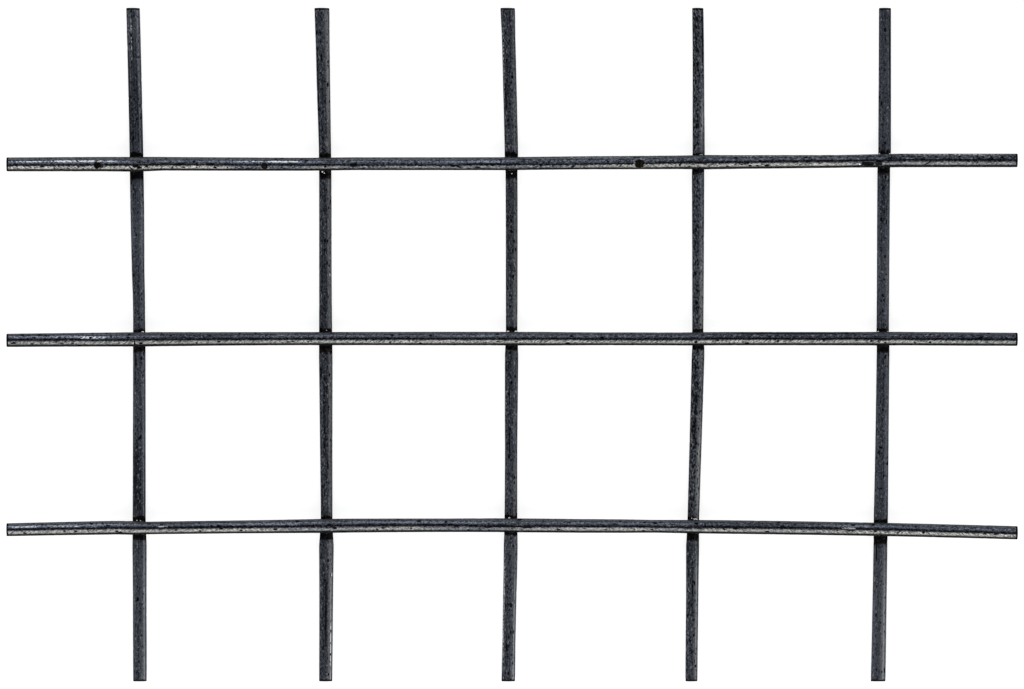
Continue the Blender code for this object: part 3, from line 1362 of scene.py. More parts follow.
@dataclass(frozen=True)
class BandedReflectionWireFinish(WireFinish):
    """The cross wires, with bands of painted reflection and highlight along them: a dark reflection on the
    crown and a pale reflection band beside it.
    """

    # Painted reflections and highlight, which stand in for light and shade: the navy band, the sheen, the
    # dark crown, the pale band and both edges
    navy_reflection: Colour = (0.028, 0.034, 0.052)
    sheen: Colour = (0.28, 0.32, 0.41)
    crown_dark_reflection: Colour = (0.004, 0.0045, 0.008)
    pale_band: Colour = (0.38, 0.377, 0.362)
    pale_core: Colour = (0.50, 0.497, 0.475)
    pale_dark: Colour = (0.045, 0.045, 0.045)
    back_edge_reflection: Colour = (0.14, 0.144, 0.147)
    front_edge_dark_reflection: Colour = (0.010, 0.010, 0.012)

    # Where round the wire each painted reflection band lies
    back_edge_reflection_span: Span = (-95.0, -48.0, 5.0)
    navy_reflection_span: Span = (-48.0, -35.0, 4.0)
    sheen_span: Span = (-34.0, -14.0, 4.0)
    crown_dark_reflection_span: Span = (-7.5, 7.5, 2.5)
    pale_band_span: Span = (13.5, 44.0, 3.0)
    pale_core_span: Span = (20.0, 34.0, 5.0)
    front_edge_dark_reflection_span: Span = (45.0, 66.0, 5.0)

    shaded_side: float = 0.0
    painted_highlight_share: float = 0.0
    drawn_lines: float = 0.36
    grain: float = 0.42
    calm_flank: float = 0.0
    speckled_side: float = 0.0
    navy_reflection_share: float = 0.45
    drift: float = 5.0  # degrees by which the bands wander slowly
    drift_drawn_out: Triple = (0.10, 0.0, 0.0)
    pale_follows: float = 0.4  # the share of the turn of the crown's dark reflection that the pale reflection band follows

    def steel(self, graph: Graph, grounds: Grounds) -> tuple[Link, Link, Link]:
        """The steel before heat and marks, with painted reflection and highlight bands that run along the
        wire.

        Args:
            graph: of the material.
            grounds: the noises and places to work from.

        Returns:
            Its colour, the height for its bump and its roughness.
        """
        colour, height, rough = super().steel(graph, grounds)
        grit, weave = grounds.grit, grounds.weave
        slow = graph.noise(grounds.place * self.drift_drawn_out, 1.0)
        drift = (slow - 0.5) * self.drift
        turn = grounds.angle + drift - grounds.turned
        stripe = grounds.angle + drift * 0.5 - grounds.turned * self.pale_follows
        fine = graph.rise(grit * 0.66 + weave * 0.34, 0.42, 0.58)
        # Painted reflection bands from the back edge to the front edge, over the steel's own grain
        back = graph.band(turn + (grit - 0.5) * 16.0, *self.back_edge_reflection_span)
        colour = graph.blend(colour, self.back_edge_reflection, back * (0.25 + fine * 0.75))
        dark_marks_and_navy_reflection = graph.band(turn + (grit - 0.5) * 15.0, *self.navy_reflection_span) * self.navy_reflection_share
        colour = graph.blend(colour, self.navy_reflection, dark_marks_and_navy_reflection * (1.0 - fine * 0.6))
        lit = graph.band(turn + (grit - 0.5) * 10.0, *self.sheen_span) * grounds.sheen
        colour = graph.blend(colour, self.sheen, lit * (0.1 + fine * 0.9))
        line = graph.band(turn + (grit - 0.5) * 5.0, *self.crown_dark_reflection_span)
        colour = graph.blend(colour, self.crown_dark_reflection, line * (0.80 + slow * 0.4 - fine * 0.35))
        # The pale band is a painted reflection, broken by darker dashes in the steel
        pale_reflection = graph.band(stripe + (weave - 0.5) * 18.0, *self.pale_band_span)
        core = graph.band(stripe + (weave - 0.5) * 14.0, *self.pale_core_span)
        dashes = graph.rise(weave * 0.70 + grit * 0.30, 0.385, 0.625)
        pale_colour = graph.blend(self.pale_band, self.pale_core, core)
        pale_colour = graph.blend(self.pale_dark, pale_colour, dashes)
        colour = graph.blend(colour, pale_colour, pale_reflection * grounds.pale)
        edge = graph.band(stripe + (grit - 0.5) * 8.0, *self.front_edge_dark_reflection_span)
        colour = graph.blend(colour, self.front_edge_dark_reflection, edge * 0.9)
        height = height + pale_reflection * (dashes * 1.4 - 0.4) - line * 1.2
        return colour, height, rough + pale_reflection * grounds.pale * 0.10


@dataclass(frozen=True)
class WeldFinish:
    """Metal that melted: blackened, with blue and brown heat colours and bright flecks."""

    name: str
    burnt: Colour = (0.006, 0.006, 0.007)
    tempered: Colour = (0.035, 0.030, 0.028)
    fleck: Colour = (0.60, 0.59, 0.55)
    fleck_share: float = 0.25
    metallic: float = 0.95
    roughness: float = 0.45
    bump_depth: float = 0.04 * MM
    coarse_noise: Noise = (900.0, 3.0, 0.6)
    fine_noise: Noise = (2600.0, 2.0, 0.6)
    fine_start: Triple = (0.3, 0.1, 0.2)

    def material(self) -> bpy.types.Material:
        """Builds the finish.

        Returns:
            The material.
        """
        material, graph = new_material(self.name)
        place = graph.node("ShaderNodeTexCoord", {}, {}, "Object")
        coarse = graph.noise(place, *self.coarse_noise)
        fine = graph.noise(place + self.fine_start, *self.fine_noise)
        colour = graph.blend(self.burnt, self.tempered, graph.rise(coarse, 0.35, 0.7))
        edge = 0.72 - self.fleck_share * 0.4
        sockets = {
            "Base Color": graph.blend(colour, self.fleck, graph.rise(fine, edge, edge + 0.12)),
            "Metallic": self.metallic,
            "Roughness": self.roughness + (coarse - 0.5) * 0.3,
        }
        graph.surface(sockets, coarse + fine * 0.4, self.bump_depth)
        return material


@dataclass(frozen=True)
class SoftLamp:
    """A large lamp, aimed at the middle of the panel."""

    name: str
    azimuth: float  # degrees from +X towards +Y
    elevation: float  # degrees over the floor
    distance: float
    size: tuple[float, float]  # wide and high
    radiance: float  # 1 shows as white
    colour: Colour = (1.0, 1.0, 1.0)

    def build(self) -> None:
        """Hangs the lamp."""
        lamp = bpy.data.lights.new(self.name, "AREA")
        lamp.shape = "RECTANGLE"
        lamp.size, lamp.size_y = self.size
        lamp.energy = self.radiance * math.pi * self.size[0] * self.size[1]
        lamp.color = self.colour
        turn, rise = math.radians(self.azimuth), math.radians(self.elevation)
        out = Vector((math.cos(turn) * math.cos(rise), math.sin(turn) * math.cos(rise), math.sin(rise)))
        hung = add_to_scene(self.name, lamp)
        hung.location = out * self.distance
        hung.rotation_euler = out.to_track_quat("Z", "Y").to_euler()


@dataclass
class Studio:
    """The pale floor, the soft light and the camera that looks straight down."""

    picture_width: int = 1024
    pixels_per_metre: float = 3726.0
    aimed_height: float = 3.1 * MM  # where the picture's scale holds
    middle_below: float = 0.2  # the pixels by which the panel's middle lies under the picture's
    lens: float = 200.0
    sensor: float = 36.0
    sees_to: float = 50.0

    white: Colour = (1.0, 1.0, 1.0)
    floor_half: float = 20.0
    floor_colour: Colour = (0.90, 0.90, 0.90)
    floor_shows: float = 0.60  # the share of plain white in what the camera sees of the floor
    floor_white: float = 1.31
    all_white: tuple[float, float] = (0.2, 0.5)  # how far out that share grows to the whole
    sky_top: float = 0.30
    sky_edge: float = 1.0
    sky_rise: tuple[float, float] = (0.15, 0.9)  # the heights from which it is the one and the other

    lamps: tuple[SoftLamp, ...] = (
        SoftLamp("front_softbox", -90.0, 38.0, 1.1, (1.8, 0.95), 2.0, (1.0, 0.99, 0.965)),
        SoftLamp("back_strip", 90.0, 45.0, 1.1, (1.8, 0.38), 1.5, (0.90, 0.95, 1.0)),
        SoftLamp("right_softbox", 0.0, 30.0, 1.1, (1.4, 0.7), 0.3),
    )

    def build(self) -> None:
        """Sets everything up."""
        self.build_floor()
        self.build_sky()
        for lamp in self.lamps:
            lamp.build()
        self.build_camera()
        bpy.context.scene.view_settings.view_transform = "Standard"

    def build_floor(self) -> None:
        """A wide floor that the camera sees as white, with the panel's soft shadow on it."""
        plan = bmesh.new()
        bmesh.ops.create_grid(plan, x_segments=1, y_segments=1, size=self.floor_half)
        floor = add_to_scene("floor", mesh_of("floor", plan))
        material, graph = new_material("white_floor")
        lit = graph.node("ShaderNodeBsdfDiffuse", {}, {"Color": self.floor_colour}, "BSDF")
        glow = {"Color": self.white, "Strength": self.floor_white}
        white = graph.node("ShaderNodeEmission", {}, glow, "Emission")
        place = graph.node("ShaderNodeTexCoord", {}, {}, "Object")
        away = graph.node("ShaderNodeVectorMath", {"operation": "LENGTH"}, {"Vector": place}, "Value")
        whiter = self.floor_shows + graph.rise(away, *self.all_white) * (1.0 - self.floor_shows)
        share = graph.node("ShaderNodeLightPath", {}, {}, "Is Camera Ray") * whiter
        sockets = {"Fac": share, "Shader": lit, "Shader_001": white}
        graph.finish("ShaderNodeOutputMaterial", graph.node("ShaderNodeMixShader", {}, sockets, "Shader"))
        floor.data.materials.append(material)

    def build_sky(self) -> None:
        """A plain sky, white round the edge and darker overhead."""
        world = bpy.data.worlds.new("soft_sky")
        bpy.context.scene.world = world
        world.use_nodes = True
        graph = Graph(world.node_tree)
        _, _, height = graph.parts(graph.node("ShaderNodeTexCoord", {}, {}, "Generated"))
        level = self.sky_edge + graph.rise(height, *self.sky_rise) * (self.sky_top - self.sky_edge)
        glow = {"Color": self.white, "Strength": level}
        graph.finish("ShaderNodeOutputWorld", graph.node("ShaderNodeBackground", {}, glow, "Background"))

    def build_camera(self) -> None:
        """A long lens straight over the panel, at the photograph's scale."""
        camera = bpy.data.cameras.new("camera")
        camera.lens = self.lens
        camera.sensor_width = self.sensor
        camera.clip_end = self.sees_to
        seen = add_to_scene("camera", camera)
        distance = self.picture_width / self.pixels_per_metre * self.lens / self.sensor
        seen.location = (0.0, self.middle_below / self.pixels_per_metre, self.aimed_height + distance)
        bpy.context.scene.camera = seen


PIT, NICK, SCUFF, GROOVE, SHINE, CRUST = MarkKind

# The line wires, from -X to +X
FIRST_LINE_WIRE = Look(
    jogs=((-90, 0.05), (-54, 0), (-46, -0.1), (-28, 0), (2, 0.2), (12, 0.2), (20, 0.05), (90, 0)),
    widths=(
        (-90, 0.1), (-66, 0.15), (-54, 0.2), (-48, 0.05), (-20, 0), (2, -0.05), (8, -0.1), (20, 0),
        (36, 0.15), (90, 0.1),
    ),
    pale=((-90, 0.3), (-60, 0.1), (-50, 0), (90, 0)),
    turned=((0, 3),),
    sheen=((-90, 0.6), (-62, 0.5), (-54, 0.3), (-40, 0.3), (-25, 0.2), (-4, 0), (90, 0.2)),
    specks=((-90, 0.5), (90, 0.7)),
    tone=(
        (-90, 0.01), (-77, 0.015), (-68, 0.035), (-58, 0.02), (-52, 0), (-43, -0.045), (-34, -0.035),
        (-25, 0.005), (20, 0.01), (30, 0.04), (40, 0.005), (60, -0.04), (74, -0.015), (90, 0.03),
    ),
    scorches_and_shadows=(ScorchAndShadow(1.3, 1.1), ScorchAndShadow(1.6, 0.8), ScorchAndShadow(2.2, 1.3)),
    marks=(
        Mark(GROOVE, 67, -52, 26, 0.35),
        Mark(NICK, 66.7, -48, 1.1, 0.6),
        Mark(NICK, 60.9, 55, 1, 0.6),
        Mark(GROOVE, -4.2, -30, 5, 0.6),
        Mark(GROOVE, -36, -38, 20, 0.6, strength=0.8),
        Mark(SHINE, 82, -20, 16, 0.4, strength=0.7),
    ),
)
SECOND_LINE_WIRE = Look(
    jogs=(
        (-90, 0.05), (-54, 0.05), (-46, 0.1), (-28, 0), (2, -0.05), (20, 0), (46, 0.25), (53, 0.25),
        (70, 0.1), (90, 0.05),
    ),
    widths=(
        (-90, 0.05), (-66, 0.15), (-54, 0.25), (-48, -0.15), (-28, -0.05), (-3, 0.1), (10, 0),
        (27, -0.05), (55, -0.05), (70, 0.1), (80, 0.15), (90, 0.3),
    ),
    pale=((-90, 0.8), (-62, 0.6), (-50, 0.5), (90, 0.5)),
    turned=((0, 6),),
    sheen=((-90, 1), (-76, 0.9), (-62, 0.3), (-52, 0), (58, 0), (68, 0.3), (90, 0.1)),
    specks=((-90, 1), (90, 1.2)),
    tone=(
        (-90, -0.01), (-60, -0.01), (-42, 0.01), (-32, -0.01), (-20, -0.01), (-8, -0.02), (9, 0.01),
        (20, -0.01), (40, -0.01), (60, 0), (90, 0.01),
    ),
    scorches_and_shadows=(ScorchAndShadow(2, 0.6), ScorchAndShadow(1.9, 0.8), ScorchAndShadow(2.2, 0.9)),
    marks=(
        Mark(GROOVE, 67, -52, 30, 0.45),
        Mark(GROOVE, 24, -24, 30, 0.3, strength=0.7),
        Mark(NICK, 36.8, 36, 0.6, 0.6),
        Mark(SHINE, 18.6, 48, 1.4, 0.5),
        Mark(SCUFF, -7.5, -46, 4, 0.7),
        Mark(NICK, -8.1, 37, 0.9, 0.6),
        Mark(GROOVE, -22, -8, 18, 0.35),
        Mark(NICK, -32.2, 16, 2.6, 0.5),
        Mark(GROOVE, -40, -42, 9, 0.5),
        Mark(SHINE, -61.7, 58, 1.2, 0.6),
        Mark(GROOVE, -72, -1, 22, 0.5),
        Mark(SHINE, -80, 47, 14, 0.4),
    ),
)
THIRD_LINE_WIRE = Look(
    jogs=(
        (-90, 0.1), (-70, 0.2), (-60, 0.3), (-50, 0.3), (-36, 0.2), (-20, 0.1), (20, 0.1), (52, 0.25),
        (70, 0.15), (90, 0.15),
    ),
    widths=(
        (-90, 0.1), (-80, 0.05), (-54, 0.15), (-48, 0), (-28, -0.05), (-3, 0.1), (3, -0.15), (46, -0.1),
        (51, 0.1), (82, 0.1), (90, 0.25),
    ),
    pale=(
        (-90, 0.4), (-60, 0.15), (-46, 0.3), (-36, 0.4), (-28, 0.1), (-6, 0.1), (4, 0.5), (20, 0.4),
        (90, 0.1),
    ),
    turned=((0, 4),),
    sheen=((-90, 0.8), (-74, 0.7), (-60, 0.3), (-52, 0), (90, 0)),
    specks=((-90, 1.1), (-50, 1.1), (90, 1.3)),
    tone=(
        (-90, 0.02), (-58, 0.01), (-52, 0.02), (-31, 0.015), (-20, -0.01), (-8, -0.015), (9, 0.015),
        (19, -0.01), (29, -0.02), (40, -0.01), (63, 0.01), (74, -0.01), (90, -0.01),
    ),
    scorches_and_shadows=(ScorchAndShadow(0.8, 0.8), ScorchAndShadow(1.1, 1.3), ScorchAndShadow(2.1, 1.3)),
    marks=(
        Mark(SHINE, 75, -60, 24, 0.5, strength=0.7),
        Mark(SHINE, 29, -60, 14, 0.5, strength=0.6),
        Mark(SHINE, -19, -60, 18, 0.5, strength=0.6),
        Mark(SHINE, -72, -60, 34, 0.5, strength=0.8),
        Mark(GROOVE, 66.5, -40, 9, 0.45),
        Mark(GROOVE, 28, -34, 28, 0.4, strength=0.6),
        Mark(NICK, 30.2, 0, 0.8, 0.5),
        Mark(SHINE, 12, 24, 8, 0.4, strength=0.45),
        Mark(NICK, -8.7, 72, 1, 0.7),
        Mark(NICK, -10.1, 0, 0.9, 0.8),
        Mark(NICK, -13.2, -25, 0.8, 0.7),
        Mark(GROOVE, -26, -12, 10, 0.4),
        Mark(NICK, -80.9, -22, 2.4, 0.6, slant=-10),
        Mark(GROOVE, -81, -27, 12, 0.35, strength=0.8),
    ),
)
FOURTH_LINE_WIRE = Look(
    jogs=(
        (-90, 0.3), (-70, 0.2), (-54, 0), (-46, 0.05), (-28, 0.2), (-1, 0.45), (3, 0.25), (27, 0),
        (46, -0.15), (51, 0), (62, 0), (90, 0.2),
    ),
    widths=(
        (-90, -0.1), (-66, -0.05), (-54, 0.05), (-48, -0.15), (-20, -0.05), (-3, 0), (3, -0.2),
        (20, -0.15), (45, -0.05), (60, -0.1), (90, -0.2),
    ),
    pale=(
        (-90, 0.45), (-62, 0.35), (-54, 0), (-47, 0.1), (-43, 0.85), (-32, 0.85), (-22, 0.6),
        (-12, 0.2), (5, 0.85), (16, 0.7), (24, 0.3), (34, 0), (50, 0), (60, 0.5), (66, 0.1), (72, 0),
        (90, 0),
    ),
    turned=((0, -4),),
    sheen=(
        (-90, 0.4), (-62, 0.6), (-54, 0), (-40, 0.3), (-22, 0.3), (-10, 0), (56, 0), (61, 0.6), (68, 0),
        (90, 0),
    ),
    specks=((-90, 1.3), (-46, 1.4), (-40, 2), (-6, 2.2), (6, 1.8), (40, 1.7), (60, 2), (90, 2.4)),
    tone=(
        (-90, 0.015), (-68, 0.015), (-58, -0.01), (-50, 0.01), (-42, 0.03), (-31, 0.025), (-8, 0.02),
        (9, 0.055), (19, 0.035), (29, 0.01), (40, 0.015), (63, 0.035), (74, 0.01), (90, 0.01),
    ),
    scorches_and_shadows=(ScorchAndShadow(1.8, 0.8), ScorchAndShadow(0.9, 0.8), ScorchAndShadow(1.1, 0.5)),
    marks=(
        Mark(GROOVE, 82, 40, 17, 0.7),
        Mark(GROOVE, 84, -22, 12, 0.6, strength=0.7),
        Mark(NICK, 75, -8, 1.2, 0.6, slant=30),
        Mark(NICK, 70.6, -28, 1, 0.5),
        Mark(NICK, 19.3, -36, 0.9, 0.8),
        Mark(NICK, 27.5, -30, 1.1, 0.5),
        Mark(NICK, 30.8, -20, 0.9, 0.5),
        Mark(GROOVE, -20, -10, 14, 0.6, strength=0.8),
        Mark(NICK, -14, -12, 1.2, 0.6, slant=25),
        Mark(NICK, -10.5, 3, 1, 0.6, slant=-30),
        Mark(NICK, -22, -28, 1.1, 0.7),
        Mark(SHINE, -68, -38, 18, 0.35, strength=0.5),
        Mark(GROOVE, -66, -3, 14, 0.4, strength=0.8),
    ),
)
FIFTH_LINE_WIRE = Look(
    jogs=((-90, 0.15), (-50, 0.15), (-1, 0.2), (3, 0.05), (30, 0), (47, 0), (52, 0.2), (90, 0.2)),
    widths=(
        (-90, 0.25), (-54, 0.15), (-46, 0.2), (-20, 0.05), (-3, 0), (6, -0.05), (53, 0), (90, -0.1),
    ),
    pale=((-90, 0.5), (-60, 0.4), (-50, 0), (0, 0.1), (20, 0.2), (34, 0), (90, 0)),
    turned=((0, -3),),
    sheen=((-90, 0.4), (-64, 0.3), (-54, 0), (90, 0)),
    specks=((-90, 0.4), (90, 0.6)),
    tone=(
        (-90, 0.045), (-68, 0.04), (-58, 0.01), (-52, 0), (-31, 0.01), (-20, 0), (-8, -0.025),
        (9, 0.015), (19, 0.02), (29, 0.01), (40, -0.015), (60, 0), (90, -0.01),
    ),
    scorches_and_shadows=(ScorchAndShadow(2.4, 0.8), ScorchAndShadow(1.8, 0.8), ScorchAndShadow(1.8, 0.6)),
    marks=(
        Mark(GROOVE, 72, 50, 36, 0.55, slant=-1.2),
        Mark(NICK, 13.2, -5, 1.1, 1, strength=0.6),
        Mark(NICK, -17.4, 2, 0.8, 0.6),
        Mark(NICK, -30.4, -60, 0.8, 0.5),
        Mark(NICK, -31.9, 60, 1.3, 0.9),
        Mark(GROOVE, -55.5, -40, 6, 0.5),
        Mark(NICK, -87.4, 58, 1.8, 0.6),
    ),
)
LINE_LOOKS = (
    FIRST_LINE_WIRE,
    SECOND_LINE_WIRE,
    THIRD_LINE_WIRE,
    FOURTH_LINE_WIRE,
    FIFTH_LINE_WIRE,
)

# The cross wires, from -Y to +Y
FRONT_WIRE = Look(
    jogs=(
        (-135, 0), (-106, 0.15), (-99, -0.05), (-64, 0), (-42, 0.1), (-4, 0.1), (18, -0.05),
        (135, -0.05),
    ),
    widths=(
        (-135, -0.05), (-112, 0.05), (-101, 0.05), (-98, -0.1), (-76, -0.05), (-48, 0.1), (-20, 0.05),
        (6, 0.1), (30, 0.05), (38, -0.05), (56, 0.05), (135, 0),
    ),
    pale=(
        (-135, 0.65), (-118, 0.72), (-108, 0.72), (-92, 0.6), (-80, 0.9), (-66, 0.78), (-59, 0.26),
        (-41, 0.35), (-30, 0.65), (-19, 0.2), (-8, 0.05), (10, 0.55), (21, 0.55), (32, 0.73),
        (42, 0.14), (52, 0.7), (60, 0.7), (70, 0.44), (82, 0.44), (90, 1), (108, 0.85), (118, 0.65),
        (129, 0.9), (135, 1),
    ),
    turned=(
        (-135, -1.5), (-62, -1.5), (-54, -3), (-40, -5), (-18, -5), (-8, 3.5), (4, 3.5), (12, 0),
        (36, 0), (42, 3), (50, -1), (70, -2), (78, -5), (104, -5), (112, -1), (135, 0),
    ),
    leaning=((-135, 0.2), (-60, 0.6), (135, 0.8)),
    sheen=(
        (-135, 1), (-126, 1), (-118, 0.75), (-108, 0.75), (-98, 0.15), (-90, 0.1), (-81, 0.4),
        (-62, 0.75), (-50, 0.25), (-41, 0.3), (-30, 0.5), (-8, 0.65), (0, 0.25), (40, 0.35), (50, 0.15),
        (60, 0), (80, 0), (90, 0.5), (96, 0.35), (106, 0.1), (135, 0.2),
    ),
    specks=((0, 1.2),),
    tone=((-100, 0), (-92, -0.015), (-84, 0), (50, 0), (60, -0.015), (74, -0.015), (84, 0)),
    marks=(
        Mark(SHINE, -120, -20, 10, 0.5, strength=0.7),
        Mark(SHINE, -130.5, -22, 8, 0.5, strength=0.9),
        Mark(CRUST, -112.6, -13, 4.4, 0.7, strength=0.8),
        Mark(NICK, -113, 2, 1.8, 0.4),
        Mark(NICK, -130.5, 34, 1, 0.5),
        Mark(NICK, -126.4, 46, 0.9, 0.4),
        Mark(NICK, -116.9, 24, 0.9, 0.5),
        Mark(SHINE, -93.3, -12, 3.6, 0.4),
        Mark(NICK, -89.9, 20, 0.7, 0.5),
        Mark(NICK, -83.5, 33, 0.9, 0.6),
        Mark(NICK, -72.5, 32, 0.8, 0.5),
        Mark(SHINE, -59.2, -16, 3.4, 0.8, strength=0.6),
        Mark(NICK, -36.2, 36, 0.7, 0.5),
        Mark(NICK, -27, 27, 0.6, 0.6),
        Mark(NICK, -6.6, 15, 2.6, 0.5),
        Mark(GROOVE, -1.2, 13, 13, 0.3),
        Mark(NICK, 4.2, 15, 3, 0.6),
        Mark(NICK, 12.5, 34, 1.4, 0.5),
        Mark(NICK, 37.6, 30, 0.8, 0.5),
        Mark(SHINE, 42.6, -8, 3.4, 0.35, strength=0.6),
        Mark(NICK, 56.8, 18, 0.9, 0.4, slant=35),
        Mark(NICK, 59.8, 14, 1.6, 0.4),
        Mark(NICK, 68.3, 36, 1.3, 0.5),
        Mark(SHINE, 90.2, -8, 4.4, 0.45),
        Mark(SCUFF, 90.8, 14, 2.6, 0.5),
    ),
)
MIDDLE_WIRE = Look(
    jogs=((-135, -0.05), (-60, 0.05), (45, 0), (56, 0.1), (92, 0.15), (104, 0.2), (135, 0.05)),
    widths=(
        (-135, 0), (-98, 0.15), (-80, 0.05), (-56, 0), (-10, 0.05), (8, 0.05), (24, -0.05), (44, -0.05),
        (54, 0), (100, 0.05), (135, 0),
    ),
    pale=(
        (-135, 0.55), (-118, 0.45), (-92, 0.6), (-81, 0.35), (-70, 0.45), (-59, 0.72), (-41, 0.62),
        (-30, 0.88), (-8, 0.57), (10, 0.67), (20, 0.57), (32, 0.35), (42, 0.5), (57, 0.92), (69, 0.72),
        (80, 0.62), (90, 0.57), (106, 0.66), (118, 0.45), (135, 0.45),
    ),
    turned=(
        (-135, -4.5), (-118, -4.5), (-112, 4.5), (-98, 1), (50, 0), (56, -2), (94, -2), (100, 1),
        (135, 0),
    ),
    leaning=((-135, 0.1), (135, 0.1)),
    sheen=(
        (-135, 0.5), (-126, 0.7), (-112, 1), (-104, 0.35), (-90, 0), (-75, 0), (-61, 0.35), (-50, 0.2),
        (-20, 0.1), (-9, 0.45), (0, 0.1), (50, 0.1), (56, 0), (135, 0),
    ),
    specks=((0, 1),),
    tone=((-100, 0), (-92, -0.015), (-66, -0.01), (-58, 0), (4, -0.005), (60, -0.015), (135, -0.02)),
    marks=(
        Mark(SHINE, -112.5, -19, 8.5, 0.9, strength=0.8),
        Mark(SHINE, -121, -24, 9, 0.5, strength=0.5),
        Mark(SCUFF, -133.5, 26, 1.8, 0.9),
        Mark(NICK, -128.5, 35, 0.9, 0.5),
        Mark(NICK, -117.6, 32, 0.7, 0.5),
        Mark(NICK, -101.1, 34, 0.5, 1.3),
        Mark(NICK, -54.6, 30, 0.6, 0.5),
        Mark(PIT, -32.7, 33, 0.9, 0.9, strength=0.5),
        Mark(SCUFF, -3.9, -43, 1.2, 0.8),
        Mark(NICK, 30, 66, 1.4, 0.4),
        Mark(CRUST, 38.2, 20, 0.8, 0.4),
        Mark(NICK, 49.2, 30, 1, 1, strength=0.7),
        Mark(NICK, 83.5, 10, 0.9, 0.7),
        Mark(NICK, 92.3, 14, 0.8, 0.4),
        Mark(NICK, 100, 38, 0.7, 0.5),
        Mark(NICK, 107, 62, 0.9, 0.4),
        Mark(GROOVE, 76, -50, 40, 0.45),
    ),
)
